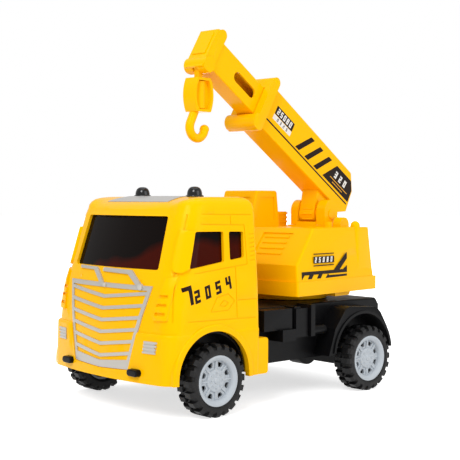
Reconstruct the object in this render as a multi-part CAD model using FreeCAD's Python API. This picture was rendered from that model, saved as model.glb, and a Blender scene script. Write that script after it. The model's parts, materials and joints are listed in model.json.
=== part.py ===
import FreeCAD, Part
import math
import os

# Toy crane truck.  Millimetres.  X points forward, Y to the truck's left, Z up.
# The origin is on the ground, under the middle of the whole toy.
# One STEP file is written for each separate piece.

V = FreeCAD.Vector
X_AXIS, Y_AXIS, Z_AXIS = V(1, 0, 0), V(0, 1, 0), V(0, 0, 1)

# ---------------------------------------------------------------- driving sizes
# fits
running_gap = 0.08          # radial play of a shaft in its bearing
seat_gap = 0.1              # play between parts that are pushed or screwed together
moving_gap = 0.6            # air between parts that move past each other
wall = 2.0                  # moulded wall of cab, chassis and crane housings

# wheels and axles
wheelbase = 130.7
front_axle_x = 73.0         # from the point that the pieces are drawn from
tyre_radius = 21.0
tyre_width = 14.0
tyre_stand_out = 4.8        # outer face of a tyre beyond the cab's side
rim_radius = 14.6           # outer lip of a hub
axle_radius = 1.5
lug_count = 20
lug_height = 1.9
lug_length = 3.3

# cab
cab_rear_x = 36.5
cab_front_x = 111.0         # nose of the cab at the bottom, in the middle
cab_bottom_z = 20.5
cab_roof_z = 125.6
cab_half_width = 58.6
nose_radius = 260.0         # plan radius of the bowed front
bumper_corner_radius = 10.5
cab_corner_radii = (11.0, 12.0, 13.0, 16.0, 17.5, 14.5, 12.0)   # at the cab's seven levels
roof_round = 6.5
roof_steps = 4
arch_radius = 26.4
arch_centre_z = 22.7
arch_lip = 3.8
liner_wall = 1.2            # chassis tunnel inside the cab's wheel arch
screen_half_width = 40.4
screen_bottom_z = 84.0
screen_top_z = 114.4
bumper_top_z = 49.0
bumper_step = 1.4
flap_length = 6.5           # how far the mudguard reaches behind the cab
glazing_thickness = 1.4
beacon_spacing = 51.6
beacon_radius = 4.5
beacon_height = 6.2

# chassis
rear_overhang = 31.8        # chassis behind the rear axle
chassis_front_inset = 12.0  # chassis nose behind the cab's nose
chassis_half_width = 43.0
deck_z = 57.5
chassis_low_z = 22.8        # underside between the wheels
axle_pod_z = 15.5           # underside round the axles
nose_pod_z = 19.8           # underside ahead of the front axle
base_thickness = 2.2
fender_inset = 1.6          # face of a rear mudguard inside the cab's side
fender_top_z = 55.0
fender_arch_radius = 26.6
fender_arch_z = 23.2

# crane turntable and housing (its own axes, from the slewing axis)
slew_ahead = 13.7           # slewing axis ahead of the rear axle
rest_slew = 6.5             # degrees, turned to the left as the toy stands
turntable_radius = 28.0
turntable_height = 3.0
spigot_radius = 9.0
crane_front = 43.0
crane_rear = -42.0
crane_half_width = 43.0
skirt_height = 9.0
skirt_step = 1.0
crane_deck_z = 105.6
hood_foot_z = 82.5
hood_top_x = 24.5
cabin_top_z = 130.3
cabin_left_y = -13.0
cabin_rear_x = -8.6
cabin_roof_front_x = 16.4

# boom bracket and boom (boom axes start at its pivot)
pivot_x = -28.0
pivot_z = 114.0
pivot_pin_radius = 2.0
ear_width = 15.0
left_cheek_y = (9.6, 16.8)
right_cheek_y = (-12.8, -7.1)
foot_half_width = 6.5       # the boom's foot between the cheeks
ear_radius = 10.0
boom_angle = 32.0           # degrees above level as the toy stands
boom_half_width = 9.0
boom_low = 13.2             # underside of the boom box above the pivot
boom_depth = 30.5
boom_tail = -21.0
boom_wall = 1.7
collar_start = 88.8
collar_thickness = 7.2
collar_overhang = 4.2
collar_half_width = 12.6
collar_lobe = 10.4          # thickness of the collar's rolled lower edge

# sliding jib, head and hook
jib_half_width = 6.9
jib_depth = 20.4
jib_low = 17.7
jib_tail = 34.0
head_start = 142.5
head_length = 9.1
head_half_width = 7.6
head_overhang = 6.8
head_lobe = 9.8             # diameter of the head's lower lobe, round the hook's pin
hook_pin_s = 147.4
hook_pin_t = 16.0
hook_pin_radius = 1.0
hanger_width = 4.0
hanger_eye_radius = 2.3
hook_block_height = 21.0
hook_block_depth = 16.8
hook_block_width = 10.4
hook_wire = 2.75            # radius of the hook's round section
hook_bowl_radius = 6.6

# friction drive
gear_module = 0.8
axle_gear_teeth = 20
idler_gear_teeth = 22
pinion_teeth = 10
gear_width = 3.0
flywheel_radius = 12.5
flywheel_width = 6.0
shaft_radius = 1.0

# ---------------------------------------------------------------- derived sizes
rear_axle_x = front_axle_x - wheelbase
chassis_rear_x = rear_axle_x - rear_overhang
chassis_front_x = cab_front_x - chassis_front_inset
slew_x = rear_axle_x + slew_ahead
axle_z = tyre_radius
tyre_outer_y = cab_half_width + tyre_stand_out
fender_outer_y = cab_half_width - fender_inset
hub_outer_y = tyre_outer_y - 0.5
hub_barrel_radius = rim_radius - 0.9
tyre_inner_y = tyre_outer_y - tyre_width
skirt_bottom_z = deck_z + turntable_height + 2.5
skirt_top_z = skirt_bottom_z + skirt_height
boom_high = boom_low + boom_depth
jib_high = jib_low + jib_depth


# ---------------------------------------------------------------- basic shapes
def prism(points, direction):
    """A straight prism on a closed outline of points."""
    wire = Part.makePolygon([V(*p) for p in points] + [V(*points[0])])
    return Part.Face(wire).extrude(direction)


def prism_y(outline, y_low, y_high):
    """An outline of (x, z) points carried across the truck."""
    return prism([(x, y_low, z) for x, z in outline], V(0, y_high - y_low, 0))


def prism_x(outline, x_low, x_high):
    """An outline of (y, z) points carried along the truck."""
    return prism([(x_low, y, z) for y, z in outline], V(x_high - x_low, 0, 0))


def prism_z(outline, z_low, z_high):
    """An outline of (x, y) points carried upwards."""
    return prism([(x, y, z_low) for x, y in outline], V(0, 0, z_high - z_low))


def box(x_low, x_high, y_low, y_high, z_low, z_high):
    return Part.makeBox(x_high - x_low, y_high - y_low, z_high - z_low, V(x_low, y_low, z_low))


def rod(radius, start, end):
    """A round bar from one point to another."""
    start, end = V(*start), V(*end)
    return Part.makeCylinder(radius, (end - start).Length, start, end - start)


def turned(profile, origin, axis_from, axis_to):
    """A body of revolution: profile points are (radius, distance along the axis)."""
    wire = Part.makePolygon([V(r, 0, d) for r, d in profile] + [V(profile[0][0], 0, profile[0][1])])
    body = Part.Face(wire).revolve(V(0, 0, 0), Z_AXIS, 360)
    turn = FreeCAD.Rotation(Z_AXIS, V(*axis_to) - V(*axis_from))
    body.Placement = FreeCAD.Placement(V(*origin), turn)
    return body


def rounded(body, radius, wanted):
    """Round every edge of the body for which wanted(edge) is true."""
    return body.makeFillet(radius, [e for e in body.Edges if wanted(e)])


def along(edge, axis):
    """True for a straight edge that runs along the axis."""
    if edge.Curve.TypeId != "Part::GeomLine":
        return False
    return abs(edge.tangentAt(edge.FirstParameter).dot(axis)) > 0.999


def mirrored(body):
    """The same piece on the truck's other side."""
    return body.mirror(V(0, 0, 0), Y_AXIS)


def joined(bodies):
    """One solid from bodies that touch or overlap."""
    result = bodies[0]
    if len(bodies) > 1:
        result = result.multiFuse(bodies[1:])
    return result.removeSplitter()


def mid(edge):
    return edge.CenterOfMass


# ---------------------------------------------------------------- wheels
def make_hub():
    """Left front hub, spoked, with a stepped rim and a sleeve for the axle."""
    outer = hub_outer_y
    depth = tyre_width - 2.0
    barrel = turned([(hub_barrel_radius - 1.3, 0), (hub_barrel_radius, 0), (hub_barrel_radius, depth - 1.2),
                     (rim_radius, depth - 1.2), (rim_radius, depth), (rim_radius - 1.2, depth),
                     (hub_barrel_radius - 1.9, depth - 1.0), (hub_barrel_radius - 2.5, depth - 2.2),
                     (hub_barrel_radius - 2.5, depth - 3.4), (hub_barrel_radius - 1.3, depth - 3.4)],
                    (front_axle_x, outer - depth, axle_z), (0, 0, 0), (0, 1, 0))
    face = turned([(0, depth - 4.4), (hub_barrel_radius - 1.0, depth - 4.4), (hub_barrel_radius - 1.0, depth - 3.0),
                   (6.9, depth - 2.9), (6.4, depth - 2.0), (5.8, depth - 1.8), (1.9, depth - 1.8),
                   (1.6, depth - 1.3), (0, depth - 1.2)],
                  (front_axle_x, outer - depth, axle_z), (0, 0, 0), (0, 1, 0))
    sleeve = rod(3.2, (front_axle_x, outer - depth - 1.0, axle_z), (front_axle_x, outer - 4.0, axle_z))
    hub = joined([barrel, face, sleeve])
    windows = []
    for k in range(8):
        angle = 2 * math.pi * (k + 0.5) / 8
        outline = []
        for radius, a in ((8.0, angle + 0.13), (10.9, angle + 0.2), (10.9, angle - 0.2), (8.0, angle - 0.13)):
            outline.append((front_axle_x + radius * math.cos(a), axle_z + radius * math.sin(a)))
        window = prism_y(outline, outer - 6, outer)
        windows.append(rounded(window, 0.6, lambda e: along(e, Y_AXIS)))
    studs = []
    for k in range(8):
        angle = 2 * math.pi * k / 8
        ux, uz = math.cos(angle), math.sin(angle)
        x, z = front_axle_x + 4.3 * ux, axle_z + 4.3 * uz
        ring = rod(0.85, (x, outer - 3.0, z), (x, outer - 1.5, z))
        studs.append(ring.cut(rod(0.4, (x, outer - 1.75, z), (x, outer - 1, z))))
        fin = [(6.0, -0.75), (11.6, -0.3), (11.6, 0.3), (6.0, 0.75)]
        studs.append(prism_y([(front_axle_x + r * ux - w * uz, axle_z + r * uz + w * ux) for r, w in fin],
                             outer - 3.6, outer - 2.2))
    bore = rod(axle_radius, (front_axle_x, outer - depth - 2, axle_z), (front_axle_x, outer - 4.5, axle_z))
    return hub.fuse(studs).cut(windows + [bore])


def make_tyre():
    """Left front tyre: a smooth carcass with two staggered rows of flat-topped lugs."""
    carcass_radius = tyre_radius - lug_height
    bore = hub_barrel_radius
    carcass = turned([(bore, 0.8), (bore + 1.5, 0), (carcass_radius - 1.2, 0.2), (carcass_radius, 1.6),
                      (carcass_radius, tyre_width - 1.6), (carcass_radius - 1.2, tyre_width - 0.2),
                      (rim_radius + 1.5, tyre_width), (rim_radius + 0.05, tyre_width - 0.5),
                      (rim_radius + 0.05, tyre_width - 1.8), (bore, tyre_width - 1.8)],
                     (front_axle_x, tyre_inner_y, axle_z), (0, 0, 0), (0, 1, 0))
    pitch = 360.0 / lug_count
    middle = tyre_outer_y - tyre_width / 2
    half = tyre_width / 2
    lugs = []
    for side, stagger in ((1, 0.0), (-1, 0.5)):
        inner, outer = 0.7 * side, (half - 0.1) * side
        section = [(inner, carcass_radius - 0.5), (inner, tyre_radius), (outer - 1.6 * side, tyre_radius),
                   (outer, tyre_radius - 1.4), (outer, carcass_radius - 3.4)]
        lug = prism([(front_axle_x - lug_length / 2, middle + y, axle_z - r) for y, r in section],
                    V(lug_length, 0, 0))
        for k in range(lug_count):
            turned_lug = lug.copy()
            turned_lug.rotate(V(front_axle_x, 0, axle_z), Y_AXIS, pitch * (k + stagger))
            lugs.append(turned_lug)
    return carcass.multiFuse(lugs)


def make_axle(x):
    """Steel axle that ends inside both hubs."""
    reach = hub_outer_y - 5.0
    return rod(axle_radius, (x, -reach, axle_z), (x, reach, axle_z))


# ---------------------------------------------------------------- gears
def gear(teeth, x, z, y_low, y_high, phase, bore):
    """A spur gear across the truck, with stub involute teeth and some backlash."""
    pitch_r = gear_module * teeth / 2
    base_r = pitch_r * math.cos(math.radians(20))
    tip_r = pitch_r + 0.6 * gear_module
    root_r = pitch_r - 0.9 * gear_module
    half_at_pitch = math.pi / (2 * teeth) - 0.12 / pitch_r

    def involute(radius):
        ratio = max(radius / base_r, 1.0)
        return math.sqrt(ratio * ratio - 1) - math.acos(1 / ratio)

    outline = []
    for k in range(teeth):
        centre = phase + 2 * math.pi * k / teeth
        radii = (root_r, pitch_r, tip_r)
        halves = [half_at_pitch + involute(pitch_r) - involute(r) for r in radii]
        for r, half in zip(radii, halves):
            outline.append((r, centre - half))
        for r, half in zip(reversed(radii), reversed(halves)):
            outline.append((r, centre + half))
    blank = prism_y([(x + r * math.cos(a), z + r * math.sin(a)) for r, a in outline], y_low, y_high)
    return blank.cut(rod(bore, (x, y_low - 1, z), (x, y_high + 1, z)))


# ---------------------------------------------------------------- cab
# height, half width, nose: the cab's plan at each level, from bumper to roof
cab_levels = [
    (cab_bottom_z, cab_half_width, cab_front_x),
    (46.0, cab_half_width + 0.3, cab_front_x - 1.3),
    (58.0, cab_half_width, cab_front_x - 2.4),
    (74.0, cab_half_width - 0.7, cab_front_x - 5.0),
    (screen_bottom_z, cab_half_width - 1.4, cab_front_x - 8.0),
    (screen_top_z, cab_half_width - 4.0, cab_front_x - 17.4),
    (cab_roof_z, cab_half_width - 6.1, cab_front_x - 21.8),
]


def cab_plan(z, half, nose, rear, corner):
    """Closed plan of the cab at one height: straight back and sides, bowed front, round corners."""
    rear_corner = 3.0
    bow = nose_radius - math.sqrt(nose_radius ** 2 - (half - corner) ** 2)
    front_corner_x = nose - bow
    lean = math.atan((half - corner) / nose_radius)
    corner_x = front_corner_x - corner * math.cos(lean)
    corner_y = half - corner
    tip_x, tip_y = corner_x + corner * math.cos(lean), corner_y + corner * math.sin(lean)
    middle_angle = (math.pi / 2 + lean) / 2
    mid_x, mid_y = corner_x + corner * math.cos(middle_angle), corner_y + corner * math.sin(middle_angle)
    front_x = nose - (nose_radius - math.sqrt(nose_radius ** 2 - tip_y ** 2))
    tip_x = front_x
    r = rear_corner
    s = r * (1 - math.sqrt(0.5))
    edges = [
        Part.Arc(V(tip_x, -tip_y, z), V(nose, 0, z), V(tip_x, tip_y, z)),
        Part.Arc(V(tip_x, tip_y, z), V(mid_x, mid_y, z), V(corner_x, half, z)),
        Part.LineSegment(V(corner_x, half, z), V(rear + r, half, z)),
        Part.Arc(V(rear + r, half, z), V(rear + s, half - s, z), V(rear, half - r, z)),
        Part.LineSegment(V(rear, half - r, z), V(rear, r - half, z)),
        Part.Arc(V(rear, r - half, z), V(rear + s, s - half, z), V(rear + r, -half, z)),
        Part.LineSegment(V(rear + r, -half, z), V(corner_x, -half, z)),
        Part.Arc(V(corner_x, -half, z), V(mid_x, -mid_y, z), V(tip_x, -tip_y, z)),
    ]
    return Part.Wire([e.toShape() for e in edges])


def cab_block(grow, extra_bottom=0.0):
    """The cab's solid outer form, grown or shrunk by an even amount, with a rounded roof edge."""
    rows = [(z, half + grow, nose + grow, corner + grow)
            for (z, half, nose), corner in zip(cab_levels, cab_corner_radii)]
    if extra_bottom > 0:
        rows.insert(0, (rows[0][0] - extra_bottom,) + rows[0][1:])
    low, high = rows[-2], rows[-1]
    top = high[0] + grow
    radius = roof_round + grow
    share = (top - radius - low[0]) / (top - low[0])
    shoulder = [a + share * (b - a) for a, b in zip(low, (top,) + high[1:])]
    wires = [cab_plan(z, half, nose, cab_rear_x - grow, corner) for z, half, nose, corner in rows[:-1]]
    for step in range(roof_steps + 1):
        angle = math.pi / 2 * step / roof_steps
        inset = radius * (1 - math.cos(angle))
        z = shoulder[0] + radius * math.sin(angle)
        wires.append(cab_plan(z, shoulder[1] - inset, shoulder[2] - inset, cab_rear_x - grow + inset,
                              shoulder[3] - inset))
    return Part.makeLoft(wires, True, True)


def bumper_grown(grow):
    """The fuller lower band of the cab, with a softened upper edge, grown by an even amount."""
    rows = [(cab_bottom_z, 0.4, -0.4), (bumper_top_z - 1.6, 0.7, -1.3), (bumper_top_z - 0.5, 0.3, -1.7),
            (bumper_top_z, -0.5, -2.5)]
    wires = [cab_plan(z, cab_half_width + side + grow, cab_front_x + bumper_step + front + grow, cab_rear_x,
                      bumper_corner_radius + grow) for z, side, front in rows]
    return Part.makeLoft(wires, True, True)


def bumper_block():
    """The bumper band without the part behind the grille, which stays on the cab's own nose."""
    return bumper_grown(0.0).cut(prism_x(grille_outline(-0.3), cab_front_x - 8, cab_front_x + 8))


def arch_cutter(side):
    """Room for one front wheel: a round arch open downwards."""
    low, high = (chassis_half_width + 1.0, cab_half_width + 8) if side > 0 else \
        (-cab_half_width - 8, -chassis_half_width - 1.0)
    disc = rod(arch_radius, (front_axle_x, low, arch_centre_z), (front_axle_x, high, arch_centre_z))
    leg = box(front_axle_x - arch_radius, front_axle_x + arch_radius, low, high, 0, arch_centre_z)
    return disc.fuse(leg)


def side_window(points):
    """A window through both sides of the cab, with small round corners."""
    pane = prism_y(points, -cab_half_width - 5, cab_half_width + 5)
    return rounded(pane, 1.2, lambda e: along(e, Y_AXIS))


def window_cutters():
    """Windscreen and the two panes in each side."""
    screen = prism_x([(-screen_half_width - 0.9, screen_bottom_z), (screen_half_width + 0.9, screen_bottom_z),
                      (screen_half_width - 1.2, screen_top_z), (-screen_half_width + 1.2, screen_top_z)],
                     cab_front_x - 40, cab_front_x + 5)
    screen = rounded(screen, 1.5, lambda e: along(e, X_AXIS))
    front_pane = side_window([(63.1, 105.6), (84.4, 105.8), (86.6, 97.0), (90.0, 84.6), (63.6, 88.2)])
    rear_pane = side_window([(47.6, 105.3), (58.9, 105.5), (59.1, 88.8), (48.1, 90.2)])
    return [screen, front_pane, rear_pane]


def make_cab_shell():
    """Yellow cab: a hollow moulding, open below, with screw posts."""
    outer = cab_block(0.0).fuse(bumper_block())
    lips = []
    for side in (1, -1):
        y0 = side * (cab_half_width - 3.0)
        y1 = side * (cab_half_width + 1.5)
        ring = rod(arch_radius + arch_lip, (front_axle_x, y0, arch_centre_z), (front_axle_x, y1, arch_centre_z))
        ring = rounded(ring, 1.0, lambda e: abs(abs(mid(e).y) - abs(y1)) < 0.05)
        reach = arch_radius + 2 * arch_lip
        keep = box(front_axle_x - reach, front_axle_x + reach, min(y0, y1) - 1, max(y0, y1) + 1,
                   cab_bottom_z, arch_centre_z + reach)
        lips.append(ring.common(keep))
    flaps = []
    for side in (1, -1):
        y0, y1 = sorted((side * (cab_half_width - 6), side * cab_half_width))
        flap = box(cab_rear_x - flap_length, cab_rear_x + 9, y0, y1, cab_bottom_z, 42.0)
        flap = rounded(flap, 2.0, lambda e: along(e, Y_AXIS) and mid(e).x < cab_rear_x - 2)
        flaps.append(flap)
    lump = mirror_lump()
    pad = corner_pad()
    outer = outer.multiFuse(lips + flaps + [lump, mirrored(lump), pad, mirrored(pad)])
    shell = outer.cut(cab_block(-wall, 5.0))
    pegs = peg_block(cab_front_x - 12, cab_front_x + 5, 0.0)
    roof_holes = [rod(1.6, (beacon_x, y, cab_roof_z - 5), (beacon_x, y, cab_roof_z + 5))
                  for y in (beacon_spacing / 2, -beacon_spacing / 2)]
    half = chassis_half_width + seat_gap
    chassis_gap = box(cab_rear_x - 1, cab_rear_x + wall + 1, -half, half, 0, deck_z + seat_gap)
    seams = side_seams() + [corner_seam()]
    shell = shell.cut([arch_cutter(1), arch_cutter(-1), pegs, mirrored(pegs), chassis_gap] + window_cutters()
                      + roof_holes + seams + [mirrored(seam) for seam in seams])
    return shell.fuse(cab_posts()).cut(cab_post_holes()).removeSplitter()


mirror_thickness = 1.7
mirror_turn = math.radians(48.2)    # the way the mirror faces, from straight ahead


def mirror_lump():
    """The moulded rear-view mirror that lies on the rounded windscreen pillar."""
    outward = V(math.cos(mirror_turn), math.sin(mirror_turn), 0)
    across = V(-math.sin(mirror_turn), math.cos(mirror_turn), 0)
    outline = [(-34.8, 106.8), (-24.9, 106.2), (-23.7, 103.5), (-24.1, 99.6), (-25.5, 94.6), (-26.8, 87.6),
               (-29.0, 84.7), (-33.6, 82.8), (-37.5, 83.4), (-39.2, 85.5), (-38.4, 92.0), (-36.4, 101.0)]
    start = outward * 80
    wire = Part.makePolygon([start + across * u + V(0, 0, z) for u, z in outline + outline[:1]])
    lump = Part.Face(wire).extrude(outward * 40)
    return lump.common(cab_block(mirror_thickness)).cut(cab_block(-wall / 2))


pad_height = 1.3
pad_inner_y = 44.6
pad_width = 8.8
pad_low_z = 56.0
louvre_height = 1.7
louvre_pitch = 4.9
louvre_count = 3
seam_width = 0.6
seam_depth = 0.35


def seam_strip(start, end):
    """One straight seam of the side panels, as a narrow prism across the cab, from (x, z) to (x, z)."""
    dx, dz = end[0] - start[0], end[1] - start[1]
    length = math.hypot(dx, dz)
    nx, nz = -dz / length * seam_width / 2, dx / length * seam_width / 2
    outline = [(start[0] + nx, start[1] + nz), (end[0] + nx, end[1] + nz), (end[0] - nx, end[1] - nz),
               (start[0] - nx, start[1] - nz)]
    return prism_y(outline, cab_half_width - 12, cab_half_width + 4)


def side_seams():
    """Grooves of the left side: door, roof line, window frame, locker and the pointed relief."""
    lines = [[(84.0, 115.7), (cab_rear_x + 4.5, 115.1)], [(57.0, 115.3), (57.0, 109.8)],
             [(82.0, 109.9), (46.6, 109.2), (45.8, 86.3), (88.0, 82.0)],
             [(55.2, 84.9), (55.2, 55.2)], [(55.2, 65.7), (cab_rear_x + 1.5, 65.5)],
             [(92.0, 55.6), (cab_rear_x + 4.3, 54.8)],
             [(75.2, 60.0), (70.2, 68.0), (61.8, 69.7), (56.9, 65.5), (61.8, 60.3), (75.2, 60.0)],
             [(68.5, 63.2), (65.0, 66.2), (61.6, 64.4), (64.4, 62.6), (68.5, 63.2)]]
    strips = []
    for line in lines:
        strips += [seam_strip(a, b) for a, b in zip(line, line[1:])]
    for k in range(7):
        z = 88.8 + 2.55 * k
        strips.append(seam_strip((cab_rear_x + 3.0, z), (cab_rear_x + 6.7, z - 0.5)))
    face = [(half - seam_depth, z) for z, half, nose in cab_levels[1:-1]]
    top = face[-1]
    outside = cab_half_width + 5
    skin = prism_x([(outside, face[0][1])] + face + [(top[0] - 0.7, top[1] + 4), (outside, top[1] + 4)],
                   cab_rear_x, cab_front_x - 17)
    return [strip.common(skin) for strip in strips]


def corner_seam():
    """The door's front seam, which runs down the rounded corner."""
    line = [(85.8, 115.7), (95.6, 84.5), (98.2, 74.0), (100.6, 55.6)]
    strips = joined([seam_strip(a, b) for a, b in zip(line, line[1:])])
    return strips.common(cab_block(1.0)).cut(cab_block(-seam_depth))


def corner_pad():
    """A raised pad on the rounded corner beside the grille, with louvre slots in its lower half."""
    reach = (cab_front_x - 17, cab_front_x + 3)
    inner, outer = pad_inner_y, pad_inner_y + pad_width
    pad = prism_x([(inner, pad_low_z), (outer, pad_low_z + 0.6), (outer + 1.0, pad_low_z + 25.0),
                   (inner + 4.2, pad_low_z + 24.0), (inner + 2.4, pad_low_z + 16.0)], *reach)
    pad = pad.common(cab_block(pad_height)).cut(cab_block(-wall / 2, 3.0))
    ground = cab_block(0.1)
    slots = []
    for k in range(louvre_count):
        z = pad_low_z + 3.2 + louvre_pitch * k
        shift = 0.5 * k
        slots.append(prism_x([(inner + 0.9 + shift, z), (outer - 1.0, z), (outer - 1.0, z + louvre_height),
                              (inner + 0.9 + shift, z + louvre_height)], *reach))
    return pad.cut(joined(slots).cut(ground))


cab_post_places = [(cab_rear_x + 5.0, 34.0), (cab_rear_x + 5.0, -34.0), (91.0, 30.0), (91.0, -30.0)]
cab_post_top = 78.0
cab_post_radius = 3.4
cab_screw_radius = 1.2


def cab_posts():
    """Screw posts that stand on the chassis and grow out of the cab's walls."""
    posts = []
    for x, y in cab_post_places:
        posts.append(rod(cab_post_radius, (x, y, deck_z + seat_gap), (x, y, cab_post_top)))
        rib_end = cab_rear_x + wall / 2 if x < 60 else 103.5
        low, high = sorted((x, rib_end))
        posts.append(box(low, high, y - 0.8, y + 0.8, deck_z + 4, cab_post_top))
    return posts


def cab_post_holes():
    return [rod(cab_screw_radius, (x, y, deck_z - 1), (x, y, cab_post_top - 3)) for x, y in cab_post_places]


def make_cab_glazing():
    """Smoked insert behind the windscreen and side windows, one moulding."""
    clear = wall + seat_gap
    band = cab_block(-clear).cut(cab_block(-clear - glazing_thickness))
    keep = box(cab_rear_x + 8, cab_front_x, -70, 70, 80.5, 117.0)
    return band.common(keep)


# ---------------------------------------------------------------- trim on the cab
grille_top_z = 75.0
grille_low_z = 27.0
grille_top_half = 40.6
grille_low_half = 26.4
grille_bar_rise = 3.8       # how far each chevron bar climbs from the middle to its end
grille_bar_thickness = 2.0
grille_bar_count = 6
grille_frame_width = 2.6
trim_thickness = 0.7
bumper_peg_y = 33.2
bumper_peg_z = 26.1
bumper_peg_width = 9.4
bumper_peg_height = 4.2
bumper_peg_reach = 3.0
headlight_y = 43.6
headlight_z = 41.2
headlight_width = 9.6
headlight_rows = 4
headlight_pitch = 1.9


def grille_half(z):
    """Half width of the tapering grille at a height."""
    share = (z - grille_low_z) / (grille_top_z - grille_low_z)
    return grille_low_half + share * (grille_top_half - grille_low_half)


def grille_outline(inset):
    """The grille's outline of (y, z), its lower edge a shallow V."""
    top, low = grille_top_z - inset, grille_low_z + inset
    return [(-grille_half(low) + inset, low), (0, low - 1.2), (grille_half(low) - inset, low),
            (grille_half(top) - inset, top), (-grille_half(top) + inset, top)]


def nose_skin(thickness):
    """A thin even skin on the cab's bowed nose."""
    front = box(cab_front_x - 26, cab_front_x + 3, -58, 58, cab_bottom_z, 90)
    return front.common(cab_block(thickness, 1.0)).cut(cab_block(0.0, 3.0))


def make_grille(skin):
    """Silver grille: a frame, six chevron bars and a deep lower bar, all on the nose."""
    reach = (cab_front_x - 20, cab_front_x + 5)
    frame = prism_x(grille_outline(0.0), *reach).cut(prism_x(grille_outline(grille_frame_width), *reach))
    inside = prism_x(grille_outline(grille_frame_width - 0.4), *reach)
    parts = [frame]
    low_bar_z = grille_low_z + 4.6
    top_bar_z = grille_top_z - 8.9
    for k in range(grille_bar_count):
        z = low_bar_z + (top_bar_z - low_bar_z) * k / (grille_bar_count - 1)
        half, t = grille_top_half, grille_bar_thickness
        rise = grille_bar_rise * half / grille_half(z)
        bar = prism_x([(-half, z + rise), (0, z), (half, z + rise), (half, z + rise + t), (0, z + t),
                       (-half, z + rise + t)], *reach)
        parts.append(bar.common(inside))
    chin = prism_x([(-30, grille_low_z - 2), (30, grille_low_z - 2), (30, grille_low_z + 5.8),
                    (0, grille_low_z + 2.8), (-30, grille_low_z + 5.8)], *reach)
    parts.append(chin.common(inside))
    return joined(parts).common(skin)


def make_wipers(skin):
    """Two wipers, parked under the windscreen."""
    reach = (cab_front_x - 20, cab_front_x + 5)
    blade_z, foot_z, t = screen_bottom_z - 1.3, grille_top_z + 1.7, 1.5
    wipers = []
    for y_end, y_knee, y_foot in ((-30.4, -17.0, -7.6), (-6.0, 17.0, 30.0)):
        blade = prism_x([(y_end, blade_z), (y_knee, blade_z), (y_foot, foot_z), (y_foot - t, foot_z - t),
                         (y_knee - t, blade_z - t), (y_end, blade_z - t)], *reach)
        wipers.append(blade.common(skin))
    return Part.makeCompound(wipers)


def make_headlights():
    """Two ribbed headlights on the bumper's corners."""
    outer, thin, inner = bumper_grown(trim_thickness), bumper_grown(trim_thickness / 2), bumper_grown(0.0)
    lamps = []
    for side in (1, -1):
        bars = []
        for k in range(headlight_rows):
            z = headlight_z + headlight_pitch * (k - (headlight_rows - 1) / 2)
            y = side * (headlight_y + 0.3 * k)
            low, high = sorted((y - side * headlight_width / 2, y + side * headlight_width / 2))
            bars.append(box(cab_front_x - 14, cab_front_x + 5, low, high, z - 0.6, z + 0.6))
        lens = box(cab_front_x - 14, cab_front_x + 5, min(side * 39.6, side * 47.6), max(side * 39.6, side * 47.6),
                   headlight_z - 3.2, headlight_z + 3.2)
        lamps.append(joined([lens.common(thin).cut(inner)] + [bar.common(outer).cut(inner) for bar in bars]))
    return Part.makeCompound(lamps)


def peg_outline(grow):
    """A slot-shaped outline of (y, z) for the bumper pegs, on the left side."""
    half_w, half_h = bumper_peg_width / 2 + grow, bumper_peg_height / 2 + grow
    return (bumper_peg_y - half_w, bumper_peg_y + half_w, bumper_peg_z - half_h, bumper_peg_z + half_h)


def peg_block(x_low, x_high, grow):
    y0, y1, z0, z1 = peg_outline(grow)
    return rounded(box(x_low, x_high, y0, y1, z0, z1), (z1 - z0) / 2 - 0.05, lambda e: along(e, X_AXIS))


def make_bumper_pegs():
    """Two black fog-lamp pegs, pushed into the bumper from in front."""
    front = cab_front_x + bumper_step - 2.6 + bumper_peg_reach
    peg = peg_block(front - 7.5, front, -seat_gap)
    peg = rounded(peg, 0.8, lambda e: abs(mid(e).x - front) < 0.05)
    return Part.makeCompound([peg, mirrored(peg)])


def make_beacons():
    """Two domed roof beacons on flanges, with pegs through the roof."""
    beacons = []
    for y in (beacon_spacing / 2, -beacon_spacing / 2):
        r, h = beacon_radius, beacon_height
        beacons.append(turned([(0, -wall - 1.5), (1.5, -wall - 1.5), (1.5, 0), (r + 1.0, 0), (r + 1.0, 1.1),
                               (r - 0.4, 1.6), (r - 0.7, 2.6), (r - 1.3, 4.2), (r - 2.4, 5.5), (r - 3.6, h), (0, h)],
                              (beacon_x, y, cab_roof_z), (0, 0, 0), (0, 0, 1)))
    return Part.makeCompound(beacons)


beacon_x = 60.0
roof_plate_front = 81.0
roof_plate_rear = 66.0
roof_plate_half = 30.0


def make_roof_plate():
    """Thin grey plate let into the front of the roof between the beacons."""
    h = roof_plate_half
    return prism_z([(roof_plate_rear, -h + 4), (roof_plate_front, -h), (roof_plate_front, h),
                    (roof_plate_rear, h - 4)], cab_roof_z, cab_roof_z + 0.5)


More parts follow.
